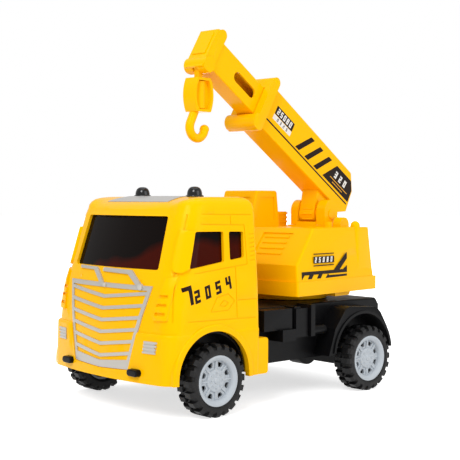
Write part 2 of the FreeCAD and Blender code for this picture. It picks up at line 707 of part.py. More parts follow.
# ---------------------------------------------------------------- chassis
def fender(side):
    """One rear mudguard: a flat-topped arch over the wheel, outside the chassis wall."""
    y0, y1 = sorted((side * (chassis_half_width - 0.5), side * fender_outer_y))
    profile = [(32.4, 24.7), (26.4, 41.7), (16.9, 53.5), (12.7, fender_top_z), (-13.3, fender_top_z - 1.8),
               (-17.6, 49.8), (-24.6, 39.3), (-28.4, 26.8)]
    block = prism_y([(rear_axle_x + x, z) for x, z in profile], y0, y1)
    block = rounded(block, 2.5, lambda e: along(e, Y_AXIS) and mid(e).z > 48)
    arch = rod(fender_arch_radius, (rear_axle_x, y0 - 1, fender_arch_z), (rear_axle_x, y1 + 1, fender_arch_z))
    below = box(rear_axle_x - fender_arch_radius, rear_axle_x + fender_arch_radius, y0 - 1, y1 + 1, 0, fender_arch_z)
    lip_low, lip_high = sorted((side * (fender_outer_y - 1.6), side * (fender_outer_y + 0.9)))
    lip = rod(fender_arch_radius + 1.8, (rear_axle_x, lip_low, fender_arch_z), (rear_axle_x, lip_high, fender_arch_z))
    reach = fender_arch_radius + 5
    lip = lip.common(box(rear_axle_x - reach, rear_axle_x + reach, lip_low, lip_high, fender_arch_z + 2.8,
                         fender_arch_z + reach))
    return block.fuse(lip).cut([arch, below])


def side_fittings(side):
    """Battery box, tank and upright plates that stand out of one chassis wall."""
    def block(x0, x1, reach, z0, z1):
        low, high = sorted((side * (chassis_half_width - 0.5), side * (chassis_half_width + reach)))
        return box(x0, x1, low, high, z0, z1)
    tank_y = side * (chassis_half_width + 7.0)
    x = cab_rear_x
    return [block(x - 33.5, x - 9.5, 9.0, 44.0, 56.8), block(x - 34.0, x - 22.5, 12.0, 37.0, 44.2),
            block(x - 46.7, x - 36.0, 10.0, 38.5, 56.3), block(x - 41.0, x - 35.6, 8.8, 38.5, 57.4),
            block(x - 51.0, x - 47.4, 12.0, 38.5, 58.4), block(x - 47.5, x - 46.6, 7.5, 38.5, 57.0),
            rod(2.9, (x - 51.5, tank_y, 41.4), (x - 64.0, tank_y, 41.4)),
            block(x - 63.0, x - 50.9, 7.0, 40.2, 42.6)]


axle_slot = axle_radius + running_gap


def chassis_underside(lift, trim):
    """Profile of the chassis's underside from rear to front, dipping round both axles."""
    rear, front = rear_axle_x, front_axle_x
    return [(rear - 19.0 + trim, axle_pod_z + lift), (rear + 8.0 - lift * 0.5, axle_pod_z + lift),
            (rear + 11.5 - lift * 0.5, chassis_low_z + lift), (front - 28.5 + lift * 0.5, chassis_low_z + lift),
            (front - 23.0 + lift * 0.5, axle_pod_z + lift), (front + 5.0 - lift * 0.5, axle_pod_z + lift),
            (front + 8.0 - lift * 0.5, nose_pod_z + lift), (chassis_front_x - 3.0 - trim, nose_pod_z + lift)]


def arch_liner():
    """Black tunnel over the left front wheel, just inside the cab's arch."""
    y0, y1 = chassis_half_width - 0.5, cab_half_width - 2.6
    centre = (front_axle_x, arch_centre_z)
    outer = rod(arch_radius - moving_gap / 2, (centre[0], y0, centre[1]), (centre[0], y1, centre[1]))
    inner = rod(arch_radius - moving_gap / 2 - liner_wall, (centre[0], y0 - 1, centre[1]), (centre[0], y1 + 1, centre[1]))
    below = box(centre[0] - 40, centre[0] + 40, y0 - 1, y1 + 1, -10, arch_centre_z)
    return outer.cut([inner, below])


def make_chassis_frame():
    """Black chassis: an open-bottomed tray with deck, mudguards and side fittings."""
    w = chassis_half_width
    outline = [(chassis_front_x, 26.0), (chassis_front_x, deck_z), (chassis_rear_x + 3.4, deck_z),
               (chassis_rear_x, deck_z - 4.6), (chassis_rear_x, 38.0)] + chassis_underside(0.0, 0.0)
    inner = [(chassis_front_x - wall, 26.5), (chassis_front_x - wall, deck_z - wall),
             (chassis_rear_x + 4.2, deck_z - wall), (chassis_rear_x + wall, deck_z - 5.4),
             (chassis_rear_x + wall, 38.6), (rear_axle_x - 19.0 + 1.5, axle_pod_z - 1.0),
             (chassis_front_x - 3.0 - wall, axle_pod_z - 1.0)]
    tray = prism_y(outline, -w, w)
    tray = rounded(tray, 1.2, lambda e: along(e, X_AXIS) and mid(e).z > deck_z - 1)
    tray = tray.cut(prism_y(inner, -w + wall, w - wall))
    extras = []
    for side in (1, -1):
        extras.append(fender(side))
        extras += side_fittings(side)
    liner = arch_liner()
    tray = tray.multiFuse(extras + [liner, mirrored(liner)])
    cuts = []
    for x in (front_axle_x, rear_axle_x):
        cuts.append(box(x - axle_slot, x + axle_slot, -w - 1, w + 1, 0, axle_z))
        cuts.append(rod(axle_slot, (x, -w - 1, axle_z), (x, w + 1, axle_z)))
    cuts.append(rod(spigot_radius + running_gap, (slew_x, 0, deck_z - wall - 1), (slew_x, 0, deck_z + 1)))
    for x, y in cab_post_places:
        cuts.append(rod(cab_screw_radius + 0.3, (x, y, deck_z - wall - 1), (x, y, deck_z + 1)))
    tray = tray.cut(cuts)
    posts, holes = [], []
    for x, y, z in base_screw_places:
        posts.append(rod(3.4, (x, y, z + base_thickness + seat_gap), (x, y, deck_z - wall + 0.1)))
        holes.append(rod(1.2, (x, y, z), (x, y, z + 14)))
    return tray.multiFuse(posts).cut(holes).removeSplitter()


base_screw_places = [(rear_axle_x - 12.0, 25.0, axle_pod_z), (rear_axle_x - 12.0, -25.0, axle_pod_z),
                     (cab_rear_x - 26.0, 30.0, chassis_low_z), (cab_rear_x - 26.0, -30.0, chassis_low_z),
                     (chassis_front_x - 10.0, 20.0, nose_pod_z), (chassis_front_x - 10.0, -20.0, nose_pod_z)]
gear_bulge_radius = 10.6
gear_bulge_wall = 1.3


def make_chassis_base():
    """Black bottom plate: closes the tray, holds both axles up and bulges under the drive."""
    inset = wall + seat_gap
    w = chassis_half_width - inset
    profile = chassis_underside(0.0, inset + 0.6) + chassis_underside(base_thickness, inset + 0.6)[::-1]
    plate = prism_y(profile, -w, w)
    y_low, y_high = right_plate_y[0] - gear_bulge_wall + 0.3, left_plate_y[1] + 0.1
    bulge = rod(gear_bulge_radius, (rear_axle_x, y_low, axle_z), (rear_axle_x, y_high, axle_z))
    bulge = bulge.common(box(rear_axle_x - 20, rear_axle_x + 20, y_low, y_high, 0, axle_pod_z + base_thickness))
    hollow = rod(gear_bulge_radius - gear_bulge_wall, (rear_axle_x, y_low + gear_bulge_wall, axle_z),
                 (rear_axle_x, left_plate_y[0] + 0.1, axle_z))
    plate = plate.fuse(bulge).cut(hollow)
    saddles = []
    for x in (front_axle_x, rear_axle_x):
        for side in (1, -1):
            y0, y1 = sorted((side * (w - 0.1), side * chassis_half_width))
            tongue = box(x - axle_slot + seat_gap, x + axle_slot - seat_gap, y0, y1, axle_pod_z, axle_z)
            y0, y1 = sorted((side * (w - 3), side * w))
            saddles += [tongue, box(x - 4, x + 4, y0, y1, axle_pod_z, axle_z)]
    plate = plate.multiFuse(saddles)
    cuts = [rod(axle_slot, (x, -60, axle_z), (x, 60, axle_z)) for x in (front_axle_x, rear_axle_x)]
    for x, y, z in base_screw_places:
        cuts.append(rod(1.5, (x, y, z - 1), (x, y, z + 4)))
        cuts.append(rod(2.6, (x, y, z - 1), (x, y, z + 0.9)))
    return plate.cut(cuts).removeSplitter()


def screw(x, y, seat_z, length, head_radius, head_height, up):
    """Pan-head self-tapping screw: the head's seat is at seat_z and the shank goes up or down."""
    tip = seat_z + length * up
    head = seat_z - head_height * up
    return rod(cab_screw_radius, (x, y, seat_z), (x, y, tip)).fuse(rod(head_radius, (x, y, head), (x, y, seat_z)))


def make_cab_screws():
    """Four screws up through the chassis deck into the cab's posts."""
    return Part.makeCompound([screw(x, y, deck_z - wall, 10.0, 2.6, 1.6, 1) for x, y in cab_post_places])


def make_base_screws():
    """Six screws up through the bottom plate into the chassis posts."""
    return Part.makeCompound([screw(x, y, z + 0.9, 10.0, 2.5, 0.9, 1) for x, y, z in base_screw_places])


# ---------------------------------------------------------------- friction drive
stage_one = gear_module * (axle_gear_teeth + pinion_teeth) / 2
stage_two = gear_module * (idler_gear_teeth + pinion_teeth) / 2
stage_one_angle = math.radians(75)
stage_two_angle = math.radians(30)
idler_x = rear_axle_x + stage_one * math.cos(stage_one_angle)
idler_z = axle_z + stage_one * math.sin(stage_one_angle)
flywheel_x = idler_x + stage_two * math.cos(stage_two_angle)
flywheel_z = idler_z + stage_two * math.sin(stage_two_angle)
first_mesh_y = (-gear_width / 2, gear_width / 2)
second_mesh_y = (gear_width / 2 + 0.5, gear_width * 1.5 + 0.5)
left_plate_y = (second_mesh_y[1] + 0.6, second_mesh_y[1] + 2.1)
right_plate_y = (first_mesh_y[0] - 2.1, first_mesh_y[0] - 0.6)
flywheel_y = (left_plate_y[1] + 0.6, left_plate_y[1] + 0.6 + flywheel_width)


def make_axle_gear():
    return gear(axle_gear_teeth, rear_axle_x, axle_z, *first_mesh_y, stage_one_angle, axle_radius)


def make_idler_gear():
    """Compound gear: its small gear runs on the axle gear, its large one drives the flywheel."""
    small = gear(pinion_teeth, idler_x, idler_z, first_mesh_y[0], second_mesh_y[0] + 0.1,
                 stage_one_angle + math.pi + math.pi / pinion_teeth, shaft_radius)
    large = gear(idler_gear_teeth, idler_x, idler_z, *second_mesh_y, stage_two_angle, shaft_radius)
    return small.fuse(large)


def make_idler_shaft():
    return rod(shaft_radius, (idler_x, right_plate_y[0], idler_z), (idler_x, left_plate_y[1], idler_z))


def make_flywheel():
    """Steel flywheel, dished on one face."""
    r, w = flywheel_radius, flywheel_width
    return turned([(shaft_radius, 0), (r, 0), (r, w), (r - 2.5, w), (r - 3.5, w - 1.5), (4.0, w - 1.5),
                   (3.5, w), (shaft_radius, w)], (flywheel_x, flywheel_y[0], flywheel_z), (0, 0, 0), (0, 1, 0))


def make_flywheel_pinion():
    """Flywheel shaft with its pinion cut on it."""
    phase = stage_two_angle + math.pi + math.pi / pinion_teeth
    pinion = gear(pinion_teeth, flywheel_x, flywheel_z, *second_mesh_y, phase, shaft_radius)
    shaft = rod(shaft_radius, (flywheel_x, right_plate_y[0], flywheel_z), (flywheel_x, flywheel_y[1], flywheel_z))
    return pinion.fuse(shaft)


def make_gear_plate(y_low, y_high):
    """One side plate of the drive: it stands on the bottom plate and carries both shafts."""
    foot_z = axle_pod_z + base_thickness
    step_z = chassis_low_z + base_thickness
    outline = [(rear_axle_x - 6, foot_z), (rear_axle_x + 6.2, foot_z), (rear_axle_x + 6.2, step_z),
               (flywheel_x + 7, step_z), (flywheel_x + 7, flywheel_z + 3), (flywheel_x + 3, flywheel_z + 5),
               (idler_x - 2, flywheel_z + 5), (idler_x - 6, idler_z + 3), (rear_axle_x - 6, axle_z + 4)]
    plate = prism_y(outline, y_low, y_high)
    cuts = [rod(axle_slot, (rear_axle_x, y_low - 1, axle_z), (rear_axle_x, y_high + 1, axle_z))]
    for x, z in ((idler_x, idler_z), (flywheel_x, flywheel_z)):
        cuts.append(rod(shaft_radius + running_gap, (x, y_low - 1, z), (x, y_high + 1, z)))
    return plate.cut(cuts)


# ---------------------------------------------------------------- crane housing
crane_place = FreeCAD.Placement(V(slew_x, 0, 0), FreeCAD.Rotation(Z_AXIS, rest_slew))


def on_crane(body):
    """Move a piece from the crane's own axes to the truck's."""
    moved = body.copy()
    moved.Placement = crane_place.multiply(moved.Placement)
    return moved


def crane_block(inset, bottom):
    """The crane housing's solid form: sloping hood in front, leaning rear wall, drafted sides."""
    i = inset
    side = [(crane_rear + i, bottom), (crane_rear + i, skirt_top_z), (crane_rear + 6.0 + i, crane_deck_z - i),
            (hood_top_x - 0.5 * i, crane_deck_z - i), (crane_front - i, hood_foot_z - 0.6 * i),
            (crane_front - i, bottom)]
    half = crane_half_width - i
    front = [(-half, bottom), (half, bottom), (half, skirt_top_z), (half - 1.8, crane_deck_z - i),
             (-half + 1.8, crane_deck_z - i), (-half, skirt_top_z)]
    return prism_y(side, -60, 60).common(prism_x(front, -60, 60))


def cabin_base_cut(grow):
    """The room that the operator's cabin takes out of the housing's right front corner."""
    return box(cabin_rear_x - grow, crane_front + 5, -60, cabin_left_y + grow,
               skirt_top_z - grow, 140)


def make_crane_body():
    """Yellow crane housing: hollow, open below, with a skirt and a notch for the cabin."""
    body = crane_block(0.0, skirt_bottom_z)
    body = rounded(body, 1.5, lambda e: mid(e).z > skirt_top_z + 1 and not along(e, X_AXIS)
                   and abs(mid(e).y) > crane_half_width - 4)
    half = crane_half_width + skirt_step
    skirt = box(crane_rear - skirt_step - 1.0, crane_front + skirt_step, -half, half, skirt_bottom_z, skirt_top_z)
    skirt = rounded(skirt, 1.5, lambda e: along(e, Z_AXIS))
    body = body.fuse(skirt).cut(cabin_base_cut(seat_gap))
    inner = crane_block(wall, skirt_bottom_z - 1)
    body = body.cut(inner.cut(cabin_base_cut(wall + seat_gap)))
    backing = [Part.makeCone(5.4, 2.4, 26, V(-23.6, side * crane_half_width, crane_deck_z - 0.5), V(0, 0, -1))
               for side in (1, -1)]
    grooves = [Part.makeCone(3.3, 0.5, 27, V(-23.6, side * (crane_half_width + 0.4), crane_deck_z + 0.5), V(0, 0, -1))
               for side in (1, -1)]
    body = body.multiFuse([cone.common(crane_block(0.0, skirt_bottom_z)) for cone in backing])
    body = body.cut([hood_window()] + grooves)
    body = body.multiFuse(deck_fittings())
    return body.multiFuse(crane_posts())


def hood_frame(depth_low, depth_high, margin):
    """A slab along the sloping hood, from one depth to another below its face."""
    run, drop = crane_front - hood_top_x, crane_deck_z - hood_foot_z
    length = math.hypot(run, drop)
    nx, nz = drop / length, run / length
    a, b = 0.14 + margin, 0.84 - margin
    start = (hood_top_x + run * a, crane_deck_z - drop * a)
    end = (hood_top_x + run * b, crane_deck_z - drop * b)
    return [(start[0] + nx * depth_high, start[1] + nz * depth_high), (end[0] + nx * depth_high, end[1] + nz * depth_high),
            (end[0] + nx * depth_low, end[1] + nz * depth_low), (start[0] + nx * depth_low, start[1] + nz * depth_low)]


def hood_window():
    """The shallow recess in the engine hood."""
    return prism_y(hood_frame(-0.9, 2.0, 0.0), 2.0, 27.0)


def deck_fittings():
    """Moulded details: hood louvres, rear corner column, deck boss, lug and vent box."""
    fittings = []
    run, drop = crane_front - hood_top_x, crane_deck_z - hood_foot_z
    for k in range(4):
        share = 0.24 + 0.15 * k
        x, z = hood_top_x + run * share, crane_deck_z - drop * share
        fittings.append(rod(0.9, (x - 0.8, 4.5, z - 0.7), (x - 0.8, 24.5, z - 0.7)))
    for side in (1, -1):
        y = side * (crane_half_width - 3.6)
        fittings.append(rod(3.2, (-24.6, y, crane_deck_z - 1), (-24.6, y, crane_deck_z + 1.0)))
        fittings.append(Part.makeSphere(3.2, V(-24.6, y, crane_deck_z + 1.0)))
    fittings.append(rod(3.0, (-14.0, 24.5, crane_deck_z - 1), (-14.0, 24.5, crane_deck_z + 3.6)))
    lug = rod(5.2, (-30.4, 20.5, crane_deck_z + 1.2), (-30.4, 26.5, crane_deck_z + 1.2))
    fittings.append(lug.common(box(-40.0, -20.0, 20.5, 26.5, crane_deck_z - 1, crane_deck_z + 8)))
    vent_front = cabin_rear_x - 2.6
    fittings.append(box(vent_front - 12.0, vent_front, -36.0, -19.0, crane_deck_z - 1, crane_deck_z + 10.0))
    for k in range(3):
        z = crane_deck_z + 2.4 + 2.9 * k
        fittings.append(box(vent_front - 12.5, vent_front + 0.5, -36.5, -18.5, z, z + 1.2))
    return fittings


def make_crane_floor():
    """Turntable: disc that turns on the deck, spigot, floor plate and locating ring."""
    disc_low = deck_z + 0.3
    disc = rod(turntable_radius, (0, 0, disc_low), (0, 0, skirt_bottom_z + 0.5))
    disc = rounded(disc, 1.2, lambda e: abs(mid(e).z - disc_low) < 0.05)
    inset = wall + seat_gap
    floor = box(crane_rear + inset, crane_front - inset, -crane_half_width + inset, crane_half_width - inset,
                skirt_bottom_z + 0.2, skirt_bottom_z + 2.2)
    lug = prism_y([(-18.0, skirt_bottom_z + 0.5), (0.0, skirt_bottom_z + 0.5), (0.0, skirt_bottom_z - 2.6),
                   (-15.5, skirt_bottom_z - 2.6)], 31.0, crane_half_width - inset)
    spigot = rod(spigot_radius, (0, 0, deck_z - wall - 0.3), (0, 0, deck_z + 1))
    bore = rod(1.3, (0, 0, deck_z - wall - 1), (0, 0, deck_z + 4))
    posts, holes = [], []
    for x, y in crane_screw_places:
        posts.append(rod(2.6, (x, y, skirt_bottom_z + 1), (x, y, skirt_bottom_z + 12)))
        holes.append(rod(1.5, (x, y, deck_z), (x, y, skirt_bottom_z + 13)))
    return disc.multiFuse([floor, lug, spigot] + posts).cut([bore] + holes).removeSplitter()


crane_screw_places = [(30.0, 34.0), (-33.0, 34.0), (-33.0, -34.0), (-17.0, -34.0)]
crane_post_top = 88.0
washer_radius = 13.0
washer_thickness = 1.6


def make_turntable_washer():
    """Washer under the deck that keeps the turntable on."""
    top = deck_z - wall - 0.3
    ring = rod(washer_radius, (0, 0, top - washer_thickness), (0, 0, top))
    return ring.cut(rod(1.4, (0, 0, top - 5), (0, 0, top + 1)))


def make_turntable_screw():
    top = deck_z - wall - 0.3 - washer_thickness
    return screw(0, 0, top, 6.0, 3.0, 1.8, 1)


def make_crane_screws():
    """Four screws that hold the floor to the housing's posts."""
    return Part.makeCompound([screw(x, y, skirt_bottom_z + 0.2, 20.0, 2.4, 1.4, 1) for x, y in crane_screw_places])


def crane_posts():
    """Sleeves inside the housing for the floor's screws, each on a rib from the side wall."""
    posts = []
    low = skirt_bottom_z + 12.1
    for x, y in crane_screw_places:
        post = rod(3.2, (x, y, low), (x, y, crane_post_top))
        side = 1 if y > 0 else -1
        y0, y1 = sorted((y, side * (crane_half_width - wall / 2)))
        rib = box(x - 0.8, x + 0.8, y0, y1, low, crane_post_top)
        posts.append(post.fuse(rib).cut(rod(1.2, (x, y, low - 1), (x, y, crane_post_top - 3))))
    return posts


def make_cabin():
    """Operator's cabin on the right: a hollow box with recessed windows."""
    rear, top = cabin_rear_x, cabin_top_z
    right, left = -crane_half_width, cabin_left_y
    low = skirt_top_z
    side = [(rear, low), (rear, crane_deck_z), (rear + 3.2, top), (cabin_roof_front_x, top),
            (hood_top_x, crane_deck_z), (crane_front, hood_foot_z), (crane_front, low)]
    shell = prism_y(side, right, left)
    shell = rounded(shell, 2.0, lambda e: along(e, Y_AXIS) and mid(e).z > top - 1)
    shell = rounded(shell, 1.5, lambda e: along(e, X_AXIS) and mid(e).z > top - 1)
    inner = [(rear + wall, low - 1), (rear + wall, crane_deck_z), (rear + 3.2 + wall, top - wall),
             (cabin_roof_front_x - wall * 0.8, top - wall), (hood_top_x - wall, crane_deck_z - wall / 2),
             (crane_front - wall, hood_foot_z - wall / 2), (crane_front - wall, low - 1)]
    shell = shell.cut(prism_y(inner, right + wall, left - wall))
    recess = 0.8
    sill, lintel = crane_deck_z + 4.5, top - 4.5
    lean = (hood_top_x - cabin_roof_front_x) / (top - crane_deck_z)
    front = [cabin_roof_front_x + lean * (top - z) for z in (sill, lintel)]
    pane = [(rear + 6.0, sill), (rear + 6.6, lintel), (front[1] - 4.5, lintel), (front[0] - 4.5, sill)]
    panes = [prism_y(pane, right - 1, right + recess), prism_y(pane, left - recess, left + 1)]
    pane_front = prism_x([(right + 4, sill), (left - 4, sill), (left - 4.5, lintel), (right + 4.5, lintel)],
                         cabin_roof_front_x - 2, crane_front)
    skin = prism_y([(front[0] + 5, sill), (front[1] + 5, lintel), (front[1] - recess, lintel),
                    (front[0] - recess, sill)], right - 1, left + 1)
    return shell.cut(panes + [pane_front.common(skin)])


def make_bracket():
    """Boom bracket: a foot on the deck and two cheeks for the pivot pin, the left one set further out."""
    foot = box(pivot_x - 7.8, pivot_x + 10.0, right_cheek_y[0] - 0.8, left_cheek_y[1] + 0.8, crane_deck_z, crane_deck_z + 0.9)
    ears = []
    for y0, y1 in (left_cheek_y, right_cheek_y):
        h = ear_width / 2
        cheek = prism_y([(pivot_x - h, crane_deck_z + 1), (pivot_x + h, crane_deck_z + 1), (pivot_x + h, pivot_z),
                         (pivot_x - h, pivot_z)], y0, y1)
        crown = rod(h, (pivot_x, y0, pivot_z), (pivot_x, y1, pivot_z))
        cap = box(pivot_x - h, pivot_x + h, y0, y1, pivot_z, pivot_z + ear_radius - h)
        ears += [cheek, crown, cap]
        ears.append(rod(h, (pivot_x, y0, pivot_z + ear_radius - h), (pivot_x, y1, pivot_z + ear_radius - h)))
    sill = box(pivot_x + ear_width / 2 - 0.5, pivot_x + ear_width / 2 + 1.4, right_cheek_y[1], left_cheek_y[0],
               crane_deck_z + 0.5, crane_deck_z + 3.2)
    body = joined([foot, sill] + ears)
    return body.cut(rod(pivot_pin_radius, (pivot_x, -30, pivot_z), (pivot_x, 30, pivot_z)))


def make_pivot_pin():
    """Pivot pin with a thin flat head on each end."""
    y0, y1 = right_cheek_y[0], left_cheek_y[1]
    pin = rod(pivot_pin_radius, (pivot_x, y0, pivot_z), (pivot_x, y1, pivot_z))
    heads = [rod(3.2, (pivot_x, y1, pivot_z), (pivot_x, y1 + 0.6, pivot_z)),
             rod(3.2, (pivot_x, y0 - 0.6, pivot_z), (pivot_x, y0, pivot_z))]
    return pin.multiFuse(heads)


# ---------------------------------------------------------------- boom, jib and hook
boom_place = FreeCAD.Placement(V(pivot_x, 0, pivot_z), FreeCAD.Rotation(Y_AXIS, -boom_angle))


def on_boom(body):
    """Move a piece from the boom's axes (along it, across it, above the pivot) to the crane's."""
    moved = body.copy()
    moved.Placement = boom_place.multiply(moved.Placement)
    return moved


def make_boom():
    """Boom: a tapered-tail box with a round foot for the pivot pin."""
    tail = boom_tail
    end = collar_start + 3.0
    outline = [(end, boom_low), (end, boom_high), (tail + 7.5, boom_high), (tail - 0.8, boom_high - 11.0),
               (tail - 2.0, boom_low + 3.3), (tail + 6.5, boom_low - 2.6), (tail + 18.0, boom_low)]
    body = prism_y(outline, -boom_half_width, boom_half_width)
    body = rounded(body, 0.9, lambda e: along(e, X_AXIS))
    inner_half = boom_half_width - boom_wall
    hollow = prism_y([(end + 1, boom_low + boom_wall), (end + 1, boom_high - boom_wall),
                      (tail + 7.5, boom_high - boom_wall), (tail - 4.0, boom_high - 13.0), (tail - 5, boom_low + 4.5),
                      (tail + 8.0, boom_low + 0.4), (tail + 18.0, boom_low + boom_wall)], -inner_half, inner_half)
    body = body.cut(hollow)
    half = foot_half_width
    foot = prism_y([(-9.0, boom_low + 0.5), (-6.2, 0), (6.2, 0), (11.0, boom_low + 0.5)], -half, half)
    drum = rod(6.2, (0, -half, 0), (0, half, 0))
    boss = rod(4.2, (0, half - 1, 0), (0, left_cheek_y[0] - 0.3, 0))
    ribs = []
    for angle in (-100, -65, -30, 5):
        a = math.radians(angle)
        x, z = 6.1 * math.cos(a), 6.1 * math.sin(a)
        ribs.append(rod(0.75, (x, -4.2, z), (x, 5.0, z)))
    body = body.multiFuse([foot, drum, boss] + ribs)
    return body.cut(rod(pivot_pin_radius + running_gap, (0, -20, 0), (0, 20, 0))).removeSplitter()


def collar_profile(start, thick, low, high, y0, y1):
    """A bar across the boom with round ends, as collar and head have."""
    r = thick / 2
    middle = box(start, start + thick, y0, y1, low + r, high - r)
    return joined([middle, rod(r, (start + r, y0, low + r), (start + r, y1, low + r)),
                   rod(r, (start + r, y0, high - r), (start + r, y1, high - r))])


def make_collar():
    """Collar on the boom's mouth: it guides the jib."""
    low, high = boom_low - 5.9, boom_high + collar_overhang
    body = collar_profile(collar_start, collar_thickness, low, high, -collar_half_width, collar_half_width)
    lobe_s, lobe_t = collar_start + collar_lobe / 2, low + collar_lobe / 2
    lobe = rod(collar_lobe / 2, (lobe_s, -collar_half_width, lobe_t), (lobe_s, collar_half_width, lobe_t))
    body = joined([body, lobe])
    pocket = box(collar_start - 1, collar_start + 3.0 + seat_gap, -boom_half_width - seat_gap, boom_half_width + seat_gap,
                 boom_low - seat_gap, boom_high + seat_gap)
    mouth = box(collar_start - 1, collar_start + collar_lobe + 1, -jib_half_width - 0.3, jib_half_width + 0.3,
                jib_low - 0.3, jib_high + 0.3)
    return body.cut([pocket, mouth])


def make_jib():
    """Sliding jib: a hollow bar with an oblong slot through its sides."""
    body = box(jib_tail, head_start, -jib_half_width, jib_half_width, jib_low, jib_high)
    body = rounded(body, 0.8, lambda e: along(e, X_AXIS))
    hollow = box(jib_tail - 1, head_start - 3, -jib_half_width + 1.6, jib_half_width - 1.6, jib_low + 1.6, jib_high - 1.6)
    slot_mid, slot_half, slot_r = 112.5, 8.0, 3.4
    slot_t = (jib_low + jib_high) / 2
    slot = [box(slot_mid - slot_half, slot_mid + slot_half, -20, 20, slot_t - slot_r, slot_t + slot_r),
            rod(slot_r, (slot_mid - slot_half, -20, slot_t), (slot_mid - slot_half, 20, slot_t)),
            rod(slot_r, (slot_mid + slot_half, -20, slot_t), (slot_mid + slot_half, 20, slot_t))]
    return body.cut([hollow] + slot)


def make_jib_guide():
    """Shoe on the jib's tail that slides inside the boom."""
    gap = 0.35
    outer = box(jib_tail - 2, jib_tail + 10, -jib_half_width, jib_half_width, boom_low + boom_wall + gap,
                boom_high - boom_wall - gap)
    inner = box(jib_tail, jib_tail + 11, -jib_half_width - 1, jib_half_width + 1, jib_low - 0.0, jib_high + 0.0)
    return outer.cut(inner)


def make_jib_head():
    """Head block on the jib: round-ended bar, raised front panel and a slot for the hook's hanger."""
    low, high = jib_low - 4.9, jib_high + head_overhang
    half = head_half_width
    bar = collar_profile(head_start, 7.2, low, high, -half, half)
    front = prism_y([(head_start + 3.6, low + 0.8), (head_start + head_length, low + 0.8), (head_start + head_length, high - 3.0),
                     (head_start + 3.6, high - 0.6)], -half, half)
    lobe_r = head_lobe / 2
    lobe_s, lobe_t = head_start + lobe_r, low + lobe_r
    cheeks = rod(lobe_r, (lobe_s, -half - 1.2, lobe_t), (lobe_s, half + 1.2, lobe_t))
    panel = box(head_start + head_length - 1, head_start + head_length + 0.7, -half + 2.2, half - 2.2, low + 10.5, high - 5.5)
    body = joined([bar, front, cheeks, panel])
    slot_half = hanger_width / 2 + 0.35
    slot = box(head_start + 1.2, hook_pin_s + hanger_eye_radius + moving_gap, -slot_half, slot_half,
               low - 1, hook_pin_t + hanger_eye_radius + moving_gap)
    below_jib = box(head_start - 1, head_start + 2, -slot_half, slot_half, low - 1, jib_low - 0.3)
    pin = rod(hook_pin_radius, (hook_pin_s, -half + 1.0, hook_pin_t), (hook_pin_s, half - 1.0, hook_pin_t))
    return body.cut([slot, below_jib, pin])


def make_hook_pin():
    half = head_half_width
    return rod(hook_pin_radius, (hook_pin_s, -half + 1.0, hook_pin_t), (hook_pin_s, half - 1.0, hook_pin_t))


def hook_origin():
    """Where the hook's pin lies, in the crane's axes."""
    point = boom_place.multVec(V(hook_pin_s, 0, hook_pin_t))
    return point.x, point.z


def make_hook_block():
    """Barrel-shaped hook block with a pocket in each side and a hanger eye."""
    x, z = hook_origin()
    top, bottom = z - 6.6, z - 6.6 - hook_block_height
    wide, narrow = hook_block_depth / 2, hook_block_depth / 2 - 2.4
    half = hook_block_width / 2

    def barrel(inset):
        middle = (top + bottom) / 2
        a, b, w, m = top - inset, bottom + inset, narrow - inset, wide - inset
        edges = [Part.LineSegment(V(x - w, 0, a), V(x + w, 0, a)), Part.Arc(V(x + w, 0, a), V(x + m, 0, middle), V(x + w, 0, b)),
                 Part.LineSegment(V(x + w, 0, b), V(x - w, 0, b)), Part.Arc(V(x - w, 0, b), V(x - m, 0, middle), V(x - w, 0, a))]
        return Part.Face(Part.Wire([e.toShape() for e in edges]))

    face = barrel(0.0)
    face.translate(V(0, -half, 0))
    body = face.extrude(V(0, 2 * half, 0))
    for side in (1, -1):
        pocket = barrel(1.6)
        pocket.translate(V(0, side * (half - 2.8), 0))
        body = body.cut(pocket.extrude(V(0, side * 4, 0)))
    core = Part.makeCylinder(4.2, hook_block_height - 4.0, V(x, 0, bottom + 2.0), Z_AXIS)
    core = core.common(box(x - 5, x + 5, -half + 0.6, half - 0.6, bottom, top))
    stem = box(x - 1.7, x + 1.7, -hanger_width / 2, hanger_width / 2, top - 1, z)
    eye = rod(hanger_eye_radius, (x, -hanger_width / 2, z), (x, hanger_width / 2, z))
    bore = rod(hook_pin_radius + running_gap, (x, -5, z), (x, 5, z))
    return joined([body, core, stem, eye]).cut(bore)


def make_load_hook():
    """Round-section hook with a ball tip; its mouth opens to the rear."""
    x, z = hook_origin()
    block_bottom = z - 6.6 - hook_block_height
    cx, cz, r = x + 1.1, block_bottom - 9.6, hook_bowl_radius
    start = math.radians(27)
    px, pz = cx + r * math.cos(start), cz + r * math.sin(start)
    lift = (block_bottom - pz) / math.cos(start)
    top = (px - lift * math.sin(start), 0, block_bottom + 0.0)
    shank = rod(hook_wire, (top[0] + 0.0, 0, top[2]), (px, 0, pz))
    shank = shank.fuse(rod(hook_wire, (px, 0, pz), (px - (lift + 1.5) * math.sin(start), 0, pz + (lift + 1.5) * math.cos(start))))
    shank = shank.common(box(px - 20, px + 20, -10, 10, pz - 10, block_bottom))
    disc = Part.Face(Part.Wire(Part.makeCircle(hook_wire, V(px, 0, pz), V(-math.sin(start), 0, math.cos(start)))))
    bowl = disc.revolve(V(cx, 0, cz), Y_AXIS, 200)
    end = start - math.radians(200)
    tip = Part.makeSphere(hook_wire + 0.25, V(cx + r * math.cos(end), 0, cz + r * math.sin(end)))
    return joined([shank, bowl, tip])


# ---------------------------------------------------------------- write the pieces
def place_left_right(body, name, x_shift):
    """Write a left wheel part and its mirror image on the right."""
    left = body.copy()
    left.translate(V(x_shift, 0, 0))
    return {name % "left": left, name % "right": mirrored(left)}


